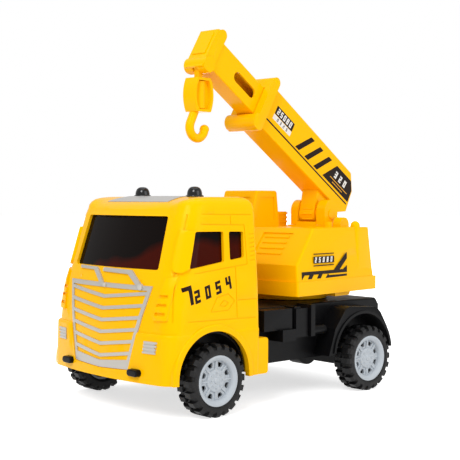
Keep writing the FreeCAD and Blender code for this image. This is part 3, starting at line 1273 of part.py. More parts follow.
def wheel_nodes():
    nodes = {}
    hub, tyre = make_hub(), make_tyre()
    for end, shift in (("front", 0.0), ("rear", -wheelbase)):
        nodes.update(place_left_right(hub, end + "_%s_hub", shift))
        nodes.update(place_left_right(tyre, end + "_%s_tyre", shift))
    nodes["front_axle"] = make_axle(front_axle_x)
    nodes["rear_axle"] = make_axle(rear_axle_x)
    return nodes


def cab_nodes():
    skin = nose_skin(trim_thickness)
    return {"cab_shell": make_cab_shell(), "cab_glazing": make_cab_glazing(), "grille": make_grille(skin),
            "wipers": make_wipers(skin), "headlights": make_headlights(), "bumper_pegs": make_bumper_pegs(),
            "roof_beacons": make_beacons(), "roof_plate": make_roof_plate(), "cab_screws": make_cab_screws()}


def chassis_nodes():
    return {"chassis_frame": make_chassis_frame(), "chassis_base": make_chassis_base(),
            "base_screws": make_base_screws()}


def drive_nodes():
    return {"axle_gear": make_axle_gear(), "idler_gear": make_idler_gear(), "idler_shaft": make_idler_shaft(),
            "flywheel": make_flywheel(), "flywheel_pinion": make_flywheel_pinion(),
            "gear_plate_left": make_gear_plate(*left_plate_y), "gear_plate_right": make_gear_plate(*right_plate_y)}


def crane_nodes():
    crane = {"crane_body": make_crane_body(), "crane_floor": make_crane_floor(), "turntable_washer": make_turntable_washer(),
             "turntable_screw": make_turntable_screw(), "crane_screws": make_crane_screws(),
             "operator_cabin": make_cabin(), "boom_bracket": make_bracket(), "pivot_pin": make_pivot_pin(),
             "hook_block": make_hook_block(), "load_hook": make_load_hook()}
    boom = {"boom": make_boom(), "boom_collar": make_collar(), "jib": make_jib(), "jib_guide": make_jib_guide(),
            "jib_head": make_jib_head(), "hook_pin": make_hook_pin()}
    crane.update({name: on_boom(body) for name, body in boom.items()})
    return {name: on_crane(body) for name, body in crane.items()}


def main():
    os.makedirs("parts", exist_ok=True)
    nodes = {}
    for group in (wheel_nodes, cab_nodes, chassis_nodes, drive_nodes, crane_nodes):
        nodes.update(group())
    middle_x = (nodes["bumper_pegs"].BoundBox.XMax + nodes["boom"].BoundBox.XMin) / 2
    for name, shape in nodes.items():
        shape.translate(V(-middle_x, 0, 0))
        shape.exportStep("parts/%s.step" % name)
        b = shape.BoundBox
        print("%-20s solids %d valid %s x %.1f %.1f y %.1f %.1f z %.1f %.1f" % (
            name, len(shape.Solids), shape.isValid(), b.XMin, b.XMax, b.YMin, b.YMax, b.ZMin, b.ZMax))
    print(Part.makeCompound(list(nodes.values())).BoundBox, "middle", middle_x)


main()
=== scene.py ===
"""Toy crane truck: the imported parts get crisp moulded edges, plastic finishes and printed trim.

The frame is in metres, with x forward, y to the left and z up. Outlines and small sizes are
written in millimetres and scaled by MM. crane_axes and boom_axes turn the axes of the turning
crane and of the raised boom, x forward along each, to the frame's.
"""
import json
import math

import bmesh
import bpy
import numpy as np
from mathutils import Matrix, Vector
from mathutils.bvhtree import BVHTree


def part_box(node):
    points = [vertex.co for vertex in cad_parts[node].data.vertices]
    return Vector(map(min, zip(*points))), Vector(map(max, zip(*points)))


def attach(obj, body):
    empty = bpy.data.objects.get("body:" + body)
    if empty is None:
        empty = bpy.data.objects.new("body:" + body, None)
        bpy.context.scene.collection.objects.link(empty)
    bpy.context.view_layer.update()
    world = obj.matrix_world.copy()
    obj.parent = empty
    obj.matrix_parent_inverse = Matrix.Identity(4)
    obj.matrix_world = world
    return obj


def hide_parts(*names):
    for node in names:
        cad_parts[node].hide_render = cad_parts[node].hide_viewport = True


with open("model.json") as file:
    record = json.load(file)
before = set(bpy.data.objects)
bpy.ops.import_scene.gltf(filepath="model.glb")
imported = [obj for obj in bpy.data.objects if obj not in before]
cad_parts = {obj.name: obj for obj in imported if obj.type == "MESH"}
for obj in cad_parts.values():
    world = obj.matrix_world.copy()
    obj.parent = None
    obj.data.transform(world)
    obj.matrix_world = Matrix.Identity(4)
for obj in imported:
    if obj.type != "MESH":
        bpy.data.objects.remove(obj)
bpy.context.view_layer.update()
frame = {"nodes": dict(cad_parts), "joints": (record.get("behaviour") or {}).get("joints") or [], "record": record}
nodes = frame["nodes"]
body_of_node = {node: body for body, members in frame["record"]["behaviour"]["bodies"].items()
                for node in members}
slot_of_node = {part["node"]: part["material_slot"] for part in frame["record"]["subparts"]}
MM = 0.001

# ------------------------------------------------------------------ the crane's and boom's axes
joints = {joint["name"]: joint for joint in frame["joints"]}
slew_point = Vector((*joints["crane_slew"]["pos_m"][:2], 0.0))
luff_point = Vector(joints["boom_luff"]["pos_m"])
forward = Vector(joints["jib_slide"]["axis"])
crane_turn = Matrix.Rotation(math.atan2(forward.y, forward.x), 4, "Z")
boom_rise = Matrix.Rotation(-math.asin(forward.z), 4, "Y")
crane_axes = Matrix.Translation(slew_point) @ crane_turn
boom_axes = Matrix.Translation(luff_point) @ crane_turn @ boom_rise


# ------------------------------------------------------------------ node helpers
def feed(tree, socket, value):
    """Link another node's output to a socket, or give the socket a plain value."""
    if isinstance(value, bpy.types.NodeSocket):
        tree.links.new(value, socket)
    else:
        socket.default_value = value


def math_node(tree, operation, *operands, clamp=False):
    """The result of one Math node; each operand is a socket or a number."""
    node = tree.nodes.new("ShaderNodeMath")
    node.operation, node.use_clamp = operation, clamp
    for socket, value in zip(node.inputs, operands):
        feed(tree, socket, value)
    return node.outputs[0]


def noise_node(tree, vector, scale, detail):
    """The value of one noise texture; its scale is a socket or a number."""
    node = tree.nodes.new("ShaderNodeTexNoise")
    node.inputs["Detail"].default_value = detail
    feed(tree, node.inputs["Vector"], vector)
    feed(tree, node.inputs["Scale"], scale)
    return node.outputs["Fac"]


def mix_node(tree, factor, first, second):
    """A colour between two, each a socket or four numbers."""
    node = tree.nodes.new("ShaderNodeMix")
    node.data_type = "RGBA"
    feed(tree, node.inputs["Factor"], factor)
    feed(tree, node.inputs["A"], first)
    feed(tree, node.inputs["B"], second)
    return node.outputs["Result"]


def effect_group(name, inputs, outputs):
    """An empty shader node group with named sockets; returns it with its input and output nodes."""
    group = bpy.data.node_groups.new(name, "ShaderNodeTree")
    for label, kind, value in inputs:
        socket = group.interface.new_socket(name=label, in_out="INPUT", socket_type=kind)
        if value is not None:
            socket.default_value = value
    for label in outputs:
        group.interface.new_socket(name=label, in_out="OUTPUT", socket_type="NodeSocketFloat")
    return group, group.nodes.new("NodeGroupInput"), group.nodes.new("NodeGroupOutput")


def effect_node(tree, group):
    """One use of an effect group in a material, read at Object coordinates."""
    where = tree.nodes.new("ShaderNodeTexCoord")
    node = tree.nodes.new("ShaderNodeGroup")
    node.node_tree = group
    feed(tree, node.inputs["Vector"], where.outputs["Object"])
    return node


# ------------------------------------------------------------------ effects shared by finishes
def moulded_skin_group():
    """Moulded plastic: a height of fine orange peel and slow waviness, a mask of faint handling
    marks, and a slow drift for the colour."""
    group, given, result = effect_group(
        "Moulded skin", [("Vector", "NodeSocketVector", None),
                         ("Grain scale", "NodeSocketFloat", 1400.0),
                         ("Wave scale", "NodeSocketFloat", 55.0)], ["Height", "Marks", "Drift"])
    grain_share = 0.25
    mark_scale, mark_gain, mark_offset = 210.0, 3.0, -1.35
    drift_scale = 18.0
    where = given.outputs["Vector"]
    grain = noise_node(group, where, given.outputs["Grain scale"], detail=2.0)
    wave = noise_node(group, where, given.outputs["Wave scale"], detail=1.0)
    marks = noise_node(group, where, mark_scale, detail=4.0)
    drift = noise_node(group, where, drift_scale, detail=1.0)
    height = math_node(group, "ADD", math_node(group, "MULTIPLY", grain, grain_share), wave)
    mask = math_node(group, "MULTIPLY_ADD", marks, mark_gain, mark_offset, clamp=True)
    for label, value in (("Height", height), ("Marks", mask), ("Drift", drift)):
        feed(group, result.inputs[label], value)
    return group


def painted_floor_glow_group():
    """Painted floor glow for a window: a mask of where the colour of the cab's lit floor is painted onto the glass
    as painted light, below a level that rises to the left and is uneven by a few millimetres."""
    group, given, result = effect_group(
        "Painted floor glow", [("Vector", "NodeSocketVector", None), ("Level", "NodeSocketFloat", 0.087),
                          ("Lean", "NodeSocketFloat", 0.22),
                          ("Softness", "NodeSocketFloat", 0.005)], ["Glow"])
    hump_scale, hump_height = 42.0, 0.016
    split = group.nodes.new("ShaderNodeSeparateXYZ")
    feed(group, split.inputs["Vector"], given.outputs["Vector"])
    hump = noise_node(group, given.outputs["Vector"], hump_scale, detail=1.0)
    lift = math_node(group, "MULTIPLY_ADD", hump, hump_height, -hump_height / 2)
    level = math_node(group, "MULTIPLY_ADD", split.outputs["Y"], given.outputs["Lean"],
                      given.outputs["Level"])
    depth = math_node(group, "SUBTRACT", math_node(group, "ADD", level, lift), split.outputs["Z"])
    step = math_node(group, "DIVIDE", depth, given.outputs["Softness"])
    feed(group, result.inputs["Glow"], math_node(group, "ADD", step, 0.5, clamp=True))
    return group


moulded_skin = moulded_skin_group()
painted_floor_glow = painted_floor_glow_group()
DEEP_SHARE = 0.93           # the deeper tone of a finish that names none, to its colour
RELIEF_HEIGHT = 0.4 * MM    # what a bump of full strength stands for


def finish(name, colour, roughness, deep=None, bump=0.02, marks=0.06, **sockets):
    """A Principled finish whose colour drifts a little and whose gloss carries faint handling
    marks; other sockets are set by name, with _ for each space."""
    material = bpy.data.materials.new(name)
    material.use_nodes = True
    tree = material.node_tree
    shader = tree.nodes["Principled BSDF"]
    surface = effect_node(tree, moulded_skin)
    deep = deep or tuple(DEEP_SHARE * channel for channel in colour)
    relief = tree.nodes.new("ShaderNodeBump")
    relief.inputs["Strength"].default_value = bump
    relief.inputs["Distance"].default_value = RELIEF_HEIGHT
    feed(tree, relief.inputs["Height"], surface.outputs["Height"])
    feed(tree, shader.inputs["Normal"], relief.outputs["Normal"])
    feed(tree, shader.inputs["Base Color"],
         mix_node(tree, surface.outputs["Drift"], (*colour, 1.0), (*deep, 1.0)))
    feed(tree, shader.inputs["Roughness"],
         math_node(tree, "MULTIPLY_ADD", surface.outputs["Marks"], marks, roughness))
    for label, value in sockets.items():
        shader.inputs[label.replace("_", " ")].default_value = value
    return material


def smoked_finish_with_painted_glow(name, colour, painted_glow_colour, roughness, **sockets):
    """Glossy dark window whose lower part is painted with the warm colour of the cab's lit floor: painted light
    that stands in for the lit floor seen through the glass.
    """
    material = finish(name, colour, roughness, bump=0.01, **sockets)
    tree = material.node_tree
    base = tree.nodes["Principled BSDF"].inputs["Base Color"]
    plain = base.links[0].from_socket
    # painted light: the mask of where the lit floor's warm colour is painted onto the window
    glow = effect_node(tree, painted_floor_glow).outputs["Glow"]
    feed(tree, base, mix_node(tree, glow, plain, (*painted_glow_colour, 1.0)))
    return material


FINISHES = {
    "yellow": finish("yellow moulded plastic", (1.0, 0.52, 0.0), 0.20, deep=(1.0, 0.50, 0.0),
                     Specular_IOR_Level=0.13, Specular_Tint=(1.0, 0.75, 0.25, 1.0)),
    "black": finish("black satin plastic", (0.0035, 0.0035, 0.004), 0.36, bump=0.05,
                    Specular_IOR_Level=0.11),
    "black_gloss": finish("black glossy plastic", (0.004, 0.004, 0.0045), 0.10),
    # the glazing's lower part carries a painted glow of the lit cab floor
    "glazing": smoked_finish_with_painted_glow("smoked glazing", (0.004, 0.002, 0.0015), (0.045, 0.003, 0.0003),
                             0.10, Specular_IOR_Level=0.06),
    "silver": finish("silver print", (0.50, 0.475, 0.43), 0.36, Metallic=0.3),
    "grey": finish("pale grey plate", (0.45, 0.44, 0.42), 0.28),
    "hub": finish("pale grey hub plastic", (0.45, 0.49, 0.53), 0.36, Specular_IOR_Level=0.3),
    "tyre": finish("black soft tyre", (0.005, 0.005, 0.0055), 0.50, bump=0.15, marks=0.12,
                   Specular_IOR_Level=0.25),
    "nylon": finish("white nylon", (0.72, 0.72, 0.68), 0.42),
    "steel": finish("bright steel", (0.58, 0.58, 0.60), 0.28, Metallic=1.0),
    "decal_black": finish("black decal film", (0.014, 0.006, 0.003), 0.35,
                          Specular_IOR_Level=0.10),
    "decal_white": finish("white decal film", (0.82, 0.80, 0.76), 0.34, Specular_IOR_Level=0.3),
    "decal_gold": finish("amber decal film", (0.80, 0.38, 0.03), 0.34, Specular_IOR_Level=0.2),
}


# ------------------------------------------------------------------ mesh helpers
def smooth(mesh, sharp_deg):
    """Smooth shading between edges that turn by less than an angle."""
    mesh.polygons.foreach_set("use_smooth", np.ones(len(mesh.polygons), dtype=bool))
    mesh.set_sharp_from_angle(angle=math.radians(sharp_deg))


def move_points(mesh, move):
    """Let a function of the whole array of points, a row for each, give their new places."""
    points = np.empty(3 * len(mesh.vertices))
    mesh.vertices.foreach_get("co", points)
    mesh.vertices.foreach_set("co", move(points.reshape(-1, 3)).ravel())
    mesh.update()


def add_piece(name, mesh, body):
    """A mesh as a new object at the origin, riding a body."""
    piece = bpy.data.objects.new(name, mesh)
    bpy.context.scene.collection.objects.link(piece)
    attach(piece, body)
    return piece


def built_piece(name, parts, finish_name, body, sharp_deg=None):
    """One piece out of several (points, faces) pairs, smooth if it is given a sharp angle."""
    starts = np.cumsum([0] + [len(points) for points, _ in parts])
    faces = [[start + index for index in face]
             for start, (_, rings) in zip(starts, parts) for face in rings]
    mesh = bpy.data.meshes.new(name)
    mesh.from_pydata(np.vstack([points for points, _ in parts]).tolist(), [], faces)
    mesh.materials.append(FINISHES[finish_name])
    if sharp_deg is not None:
        smooth(mesh, sharp_deg)
    return add_piece(name, mesh, body)


def placed(points, axes):
    """Points in millimetres along a part's own axes, as places on the truck in metres."""
    return (points * MM) @ np.array(axes.to_3x3()).T + np.array(axes.translation)


def full_turn(count):
    """Evenly spaced angles once round, without the repeated last one."""
    return np.linspace(0.0, 2 * math.pi, count, endpoint=False)


def spread_out(x, y, z):
    """Points from their three coordinates, each repeated over the others' rows and columns."""
    return np.stack(np.broadcast_arrays(x, y, z), axis=-1)


def skin(rings, closed=False):
    """A skin over rings of points: quads between neighbours, then a flat cap at each end, or the
    last ring joined to the first."""
    rows, count = rings.shape[:2]
    index = np.arange(rows * count).reshape(rows, count)
    above = np.roll(index, -1, axis=0) if closed else index[1:]
    below = index if closed else index[:-1]
    sides = np.stack([below, np.roll(below, -1, axis=1), np.roll(above, -1, axis=1), above],
                     axis=-1)
    caps = [] if closed else [index[0, ::-1].tolist(), index[-1].tolist()]
    return rings.reshape(-1, 3), sides.reshape(-1, 4).tolist() + caps


def turns_left(flat):
    """Whether a flat outline runs anticlockwise: the sum of its cross products is positive."""
    across, up = np.asarray(flat, dtype=float).T
    return np.sum(across * np.roll(up, -1) - np.roll(across, -1) * up) > 0


def rim(edge, count):
    """Quads from a closed run of points to the same run in the next layer of count points."""
    after = np.roll(edge, -1)
    return np.column_stack([edge, after, after + count, edge + count])


def wrapped_strip(corners, surface, start, inner, outer, front=False):
    """A four-cornered strip on a curved wall: a bilinear grid of points about a millimetre apart,
    dropped straight onto the surface, from the left at (x, z) or from the front at (y, z), and
    laid out twice along the wall's normal."""
    corners = np.asarray(corners, dtype=float)
    across, along = (max(2, int(np.ceil(np.linalg.norm(corner - corners[0]))))
                     for corner in (corners[1], corners[3]))
    u, v = np.meshgrid(np.linspace(0, 1, across + 1), np.linspace(0, 1, along + 1))
    shares = np.stack([(1 - u) * (1 - v), u * (1 - v), u * v, (1 - u) * v], axis=-1)
    flat = shares.reshape(-1, 4) @ corners
    places = np.insert(flat, 0 if front else 1, start, axis=1) * MM
    way = Vector((-1.0, 0.0, 0.0) if front else (0.0, -1.0, 0.0))
    found = [surface.ray_cast(Vector(place), way)[:2] for place in places]
    hits, normals = (np.array([list(row) for row in rows]) for rows in zip(*found))
    count = len(hits)
    grid = np.arange(count).reshape(along + 1, across + 1)
    cells = np.stack([grid[:-1, :-1], grid[:-1, 1:], grid[1:, 1:], grid[1:, :-1]], axis=-1)
    cells = cells.reshape(-1, 4)
    edge = np.concatenate([grid[0, :-1], grid[:-1, -1], grid[-1, :0:-1], grid[:0:-1, 0]])
    faces = np.vstack([cells[:, ::-1], cells + count, rim(edge, count)])
    if turns_left(corners) != front:
        faces = faces[:, ::-1]
    return np.vstack([hits + normals * depth * MM for depth in (inner, outer)]), faces.tolist()


# ------------------------------------------------------------------ the roof's slope
plate_low, plate_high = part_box("roof_plate")
ROOF_TOP = plate_low.z
ROOF_FALL = 0.0054          # how far the dished front of the roof lies below its crown
ROOF_DEPTH = 0.0106         # the fall fades out this far down, above the windscreen
ROOF_POWER = 1.5            # how the fall grows with the distance ahead of the crown
ROOF_START = plate_low.x + 0.002
ROOF_END = plate_high.x + 0.0095
DISH_HALF = plate_high.y + 0.004
RIM_HALF = plate_high.y + 0.018
RIM_SHARE = 0.45            # the rims at both sides fall this much of it
PLATE_REACH = 0.0028        # the plate's front edge lies this much further forward
CUTS_ALONG, CUTS_ACROSS = 12, 7
CUT_DISTANCE = 1e-6         # points this near a cut count as on it


def dropped(points):
    """Points of the roof after its fall: a power of their distance ahead of the crown, less at
    the rims by a smooth step, fading down the front."""
    x, y, z = points.T
    ahead = np.clip((x - ROOF_START) / (ROOF_END - ROOF_START), 0.0, 1.0)
    share = np.clip((z - ROOF_TOP + ROOF_DEPTH) / ROOF_DEPTH, 0.0, 1.0)
    side = np.clip((abs(y) - DISH_HALF) / (RIM_HALF - DISH_HALF), 0.0, 1.0)
    rim_share = 1.0 - (1.0 - RIM_SHARE) * side * side * (3.0 - 2.0 * side)
    return np.column_stack([x, y, z - ROOF_FALL * ahead ** ROOF_POWER * share * rim_share])


def lengthen_plate(work):
    """Move the front half of the roof plate forward."""
    middle = (plate_low.x + plate_high.x) / 2
    front = [vert for vert in work.verts if vert.co.x > middle]
    bmesh.ops.translate(work, verts=front, vec=(PLATE_REACH, 0.0, 0.0))


def cut_roof(work):
    """Cut the roof's faces into fields that are small enough to follow the fall."""
    cuts = [((x, 0.0, 0.0), (1.0, 0.0, 0.0)) for x in np.linspace(ROOF_START, ROOF_END, CUTS_ALONG)]
    cuts += [((0.0, side * y, 0.0), (0.0, 1.0, 0.0))
             for y in np.linspace(DISH_HALF, RIM_HALF, CUTS_ACROSS) for side in (1, -1)]
    for place, normal in cuts:
        high = [face for face in work.faces
                if max(vert.co.z for vert in face.verts) > ROOF_TOP - ROOF_DEPTH]
        edges = list({edge for face in high for edge in face.edges})
        verts = list({vert for face in high for vert in face.verts})
        bmesh.ops.bisect_plane(work, geom=high + edges + verts, dist=CUT_DISTANCE,
                               plane_co=place, plane_no=normal)


# ------------------------------------------------------------------ carried-over parts
WHEELS = {"front_left": 1, "front_right": -1, "rear_left": 1, "rear_right": -1}     # 1 is left
SHOWN = ["cab_shell", "cab_glazing", "grille", "headlights", "bumper_pegs", "roof_plate",
         "chassis_frame", "chassis_base", "crane_body", "crane_floor", "operator_cabin",
         "boom_bracket", "pivot_pin", "boom", "boom_collar", "jib", "jib_guide", "jib_head",
         "hook_pin", "hook_block", "load_hook"]
EDGE = 0.15                 # width of a part's soft edges in mm, unless it has its own
EDGES = {"cab_shell": 0.35, "crane_body": 0.35, "operator_cabin": 0.35, "boom": 0.35,
         "boom_collar": 0.25, "jib": 0.3, "jib_head": 0.35, "boom_bracket": 0.25,
         "chassis_frame": 0.3, "hook_block": 0.3, "load_hook": 0.0, "crane_floor": 0.3,
         "bumper_pegs": 0.0}
for wheel in WHEELS:
    SHOWN += [wheel + "_hub", wheel + "_tyre"]
    EDGES[wheel + "_hub"], EDGES[wheel + "_tyre"] = 0.2, 0.25
ROOFED = ("cab_shell", "roof_plate")
KEPT_FACETED = ("boom_collar",)     # its walls round the opening shade unevenly when merged
EDGE_STEPS = 2
SHARP_DEG = 28.0
WELD_DISTANCE = 2e-6
FLAT_DEG = 0.6              # neighbouring faces that turn by less than this are merged


def crisp(node, edge_mm):
    """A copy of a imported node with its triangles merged, faces smoothed and edges bevelled."""
    mesh = nodes[node].data.copy()
    mesh.name = node + "_surface"
    work = bmesh.new()
    work.from_mesh(mesh)
    bmesh.ops.remove_doubles(work, verts=work.verts, dist=WELD_DISTANCE)
    if node not in KEPT_FACETED:
        bmesh.ops.dissolve_limit(work, angle_limit=math.radians(FLAT_DEG), verts=work.verts,
                                 edges=work.edges)
    if node == "roof_plate":
        lengthen_plate(work)
    if node in ROOFED:
        cut_roof(work)
    work.to_mesh(mesh)
    work.free()
    if node in ROOFED:
        move_points(mesh, dropped)
    mesh.materials.clear()
    mesh.materials.append(FINISHES[slot_of_node[node]])
    smooth(mesh, SHARP_DEG)
    piece = add_piece(node + "_moulding", mesh, body_of_node[node])
    if edge_mm > 0:
        bevel = piece.modifiers.new("soft edges", "BEVEL")
        bevel.width = edge_mm * MM
        bevel.segments = EDGE_STEPS
        bevel.limit_method = "ANGLE"
        bevel.angle_limit = math.radians(SHARP_DEG)
        bevel.harden_normals = True
        bevel.use_clamp_overlap = True
    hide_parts(node)


# ------------------------------------------------------------------ parts made anew
cab_mesh = nodes["cab_shell"].data
cab_wall = BVHTree.FromPolygons([vertex.co for vertex in cab_mesh.vertices],
                                [face.vertices for face in cab_mesh.polygons])


def make_wipers():
    """Two cranked wipers on the nose: a blade and a widening arm wrapped on it, outlined from the
    front as (y, z), and a round pivot on the grille: (y, z, radius)."""
    ahead, sunk, proud = 130.0, -0.1, 1.25
    blades = [[(-31.6, 81.9), (-15.0, 81.6), (-12.2, 83.3), (-31.6, 83.6)],
              [(-5.2, 81.2), (18.9, 80.6), (21.4, 83.0), (-5.2, 83.4)]]
    arms = [[(-15.0, 81.6), (-4.4, 73.2), (-0.6, 73.4), (-12.2, 83.3)],
            [(18.9, 80.6), (29.4, 73.6), (32.6, 74.8), (21.4, 83.0)]]
    pivots = [(-0.4, 73.8, 1.4), (31.6, 74.2, 1.9)]
    shoulder, tip, chamfer = 1.5, 1.9, 0.5
    parts = [wrapped_strip(strip, cab_wall, ahead, sunk, proud, front=True)
             for strip in blades + arms]
    turn = full_turn(24)
    for y, z, radius in pivots:
        hit = cab_wall.ray_cast(Vector((ahead, y, z)) * MM, Vector((-1.0, 0.0, 0.0)))[0] / MM
        reach = np.array([[0.0], [shoulder], [tip]])
        width = np.array([[radius], [radius], [radius - chamfer]])
        rings = spread_out(hit.x + reach, y + width * np.cos(turn), z + width * np.sin(turn))
        parts.append(skin(rings * MM))
    piece = built_piece("wiper_arms", parts, slot_of_node["wipers"], body_of_node["wipers"],
                        sharp_deg=30.0)
    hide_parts("wipers")


def make_beacons():
    """Two roof lamps: each a flange and a dome turned about its axis, the dome a superellipse:
    its radius goes with a power of a cosine and its height with a power of the sine."""
    low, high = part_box("roof_beacons")
    flange = (high.x - low.x) / 2
    centre_x, apart = (low.x + high.x) / 2, high.y - flange
    dome, top = 0.83 * flange, high.z - ROOF_TOP
    sunk, foot = 0.0012, 0.0011
    width_power, height_power = 0.72, 0.9
    rise = np.linspace(0.0, 0.4995 * math.pi, 15)       # just short of the axis
    base = [(flange * 0.97, -sunk), (flange, 0.0), (flange, 0.0005), (flange * 0.95, 0.0009),
            (dome * 1.06, foot)]                        # (radius, height) up the flange
    crown = np.column_stack([dome * np.cos(rise) ** width_power,
                             foot + (top - foot) * np.sin(rise) ** height_power])
    radius, height = np.vstack([base, crown]).T[:, :, None]
    turn = full_turn(48)
    parts = [skin(spread_out(centre_x + radius * np.cos(turn), side * apart + radius * np.sin(turn),
                             ROOF_TOP + height)) for side in (1, -1)]
    piece = built_piece("beacon_lamps", parts, slot_of_node["roof_beacons"],
                        body_of_node["roof_beacons"], sharp_deg=50.0)
    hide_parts("roof_beacons")


def make_corner_columns():
    """Upright column on each rear corner of the turning housing: its plan, a half-round front
    edge and a flat face, carried straight up, so that it stands out more the further the wall
    leans in."""
    levels = ((71.5, -41.95), (105.5, -35.95))          # height, and where the rear face is there
    face_y, root_y, front_x = 42.7, 38.6, -24.6
    front_round, rear_round = 3.2, 1.5
    quarter = np.linspace(0.0, math.pi / 2, 9)
    front = np.column_stack([front_x + front_round * np.cos(quarter),
                             face_y - front_round + front_round * np.sin(quarter)])
    parts = []
    for side in (1, -1):
        rings = []
        for z, rear_x in levels:
            rear = np.column_stack([rear_x + rear_round - rear_round * np.sin(quarter),
                                    face_y - rear_round + rear_round * np.cos(quarter)])
            plan = np.vstack([[(front_x + front_round, root_y)], front, rear, [(rear_x, root_y)]])
            ring = np.column_stack([plan * (1, side), np.full(len(plan), z)])
            rings.append(placed(ring[::side], crane_axes))
        parts.append(skin(np.array(rings)))
    piece = built_piece("corner_columns", parts, "yellow", "crane", sharp_deg=30.0)


def make_hub_webs():
    """Dark ring in tyre black behind each hub's windows, a dark sheet that stands in for the shade inside the hub:
    a flat ring, its square section carried round the axle."""
    turn = full_turn(48)[:, None]
    inner, outer = 3.1 * MM, 12.5 * MM
    near, far = 8.4 * MM, 9.2 * MM                      # behind the hub's outer face
    radius = np.array([inner, outer, outer, inner])
    behind = np.array([far, far, near, near])
    for wheel, side in WHEELS.items():
        hub_low, hub_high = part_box(wheel + "_hub")
        tyre_low, tyre_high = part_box(wheel + "_tyre")
        face = side * max(side * hub_low.y, side * hub_high.y)
        middle = (tyre_low + tyre_high) / 2
        rings = spread_out(middle.x + radius * np.cos(turn), face - side * behind,
                           middle.z + radius * np.sin(turn))
        # a dark sheet in tyre black that stands in for the shade inside the hub
        piece = built_piece(wheel + "_web", [skin(rings[:, ::side], closed=True)], "tyre",
                            body_of_node[wheel + "_tyre"], sharp_deg=30.0)


for node in SHOWN:
    crisp(node, EDGES.get(node, EDGE))
make_wipers()
make_beacons()
make_corner_columns()
# dark rings that stand in for the shade inside the hubs
make_hub_webs()
renewed = {*SHOWN, "wipers", "roof_beacons"}
for node, part in nodes.items():
    if node not in renewed:
        part.data.materials.clear()
        part.data.materials.append(FINISHES[slot_of_node[node]])


# ------------------------------------------------------------------ printed trim
FILM_SUNK, FILM_PROUD = 0.05, 0.07      # how far printed film goes into its wall and stands out


def rounded_outline(corners, radius):
    """Points of an outline whose corners are quadratic curves, each pulled towards its corner."""
    steps = 4
    corners = np.asarray(corners, dtype=float)
    before, after = (np.roll(corners, shift, axis=0) - corners for shift in (1, -1))
    start, end = (corners + way / np.linalg.norm(way, axis=1)[:, None] * radius
                  for way in (before, after))
    share = np.linspace(0.0, 1.0, steps + 1)[None, :, None]
    curve = ((1 - share) ** 2 * start[:, None] + 2 * share * (1 - share) * corners[:, None]
             + share ** 2 * end[:, None])
    return curve.reshape(-1, 2)


def plate_mesh(flat, inner, outer):
    """An outline (x forward, z up) as a thin plate between two distances: two faces and a rim."""
    if turns_left(flat):
        flat = flat[::-1]
    ring, count = np.arange(len(flat)), len(flat)
    points = np.vstack([np.insert(flat, 1, depth, axis=1) for depth in (inner, outer)])
    return points, [ring[::-1].tolist(), (ring + count).tolist()] + rim(ring, count).tolist()


def film(name, outlines, axes, distance, finish_name, body, radius):
    """Printed film on a flat left wall: every outline (x forward, z up, mm) is a thin plate with
    rounded corners, at the wall's distance from the middle."""
    parts = []
    for corners in outlines:
        points, faces = plate_mesh(rounded_outline(corners, radius), distance - FILM_SUNK,
                                   distance + FILM_PROUD)
        parts.append((placed(points, axes), faces))
    built_piece(name, parts, finish_name, body)


SEGMENTS = {"0": "abcdef", "2": "abged", "3": "abgcd", "4": "fgbc", "5": "afgcd", "7": "abc",
            "8": "abcdefg"}     # bars of each numeral: a on top, then clockwise, g in the middle


def numeral(digit, height, stroke):
    """Strokes of one plain numeral: four-cornered bars on a two-storey frame, leaning a little.
    Where there is no middle bar, the upper and lower ones meet at half height."""
    lean = 0.12
    width, middle, gap = 0.56 * height, height / 2, stroke / 2
    used, left, right = SEGMENTS[digit], (0, stroke), (width - stroke, width)
    bars = {"a": (0, width, height - stroke, height), "d": (0, width, 0, stroke),
            "g": (0, width, middle - gap, middle + gap),
            "f": (*left, middle + gap, height - stroke),
            "b": (*right, middle + gap, height - stroke),
            "e": (*left, stroke, middle - gap), "c": (*right, stroke, middle - gap)}
    if "g" not in used:
        bars["b"] = (*right, middle, height - stroke)
        bars["c"] = (*right, stroke if "d" in used else 0, middle)
        bars["f"], bars["e"] = (*left, middle, height - stroke), (*left, stroke, middle)
    if digit == "4":
        bars["f"], bars["b"] = (*left, middle + gap, height), (*right, middle + gap, height)
        bars["c"] = (*right, 0, middle - gap)
    strokes = []
    for key in used:
        x0, x1, y0, y1 = bars[key]
        strokes.append([(x0 + lean * y0, y0), (x1 + lean * y0, y0),
                        (x1 + lean * y1, y1), (x0 + lean * y1, y1)])
    return strokes


def number_strokes(text, start, height, stroke, rise=0.0, pitch=0.8):
    """A row of numerals read from the left of the truck: start is (x, z), rise turns the row
    upward to the rear, and pitch is the step to the next one in heights."""
    strokes, run = [], 0.0
    for digit in text:
        for bar in numeral(digit, height, stroke):
            strokes.append([(start[0] - (run + x) * math.cos(rise) + y * math.sin(rise),
                             start[1] + (run + x) * math.sin(rise) + y * math.cos(rise))
                            for x, y in bar])
        run += height * pitch
    return strokes


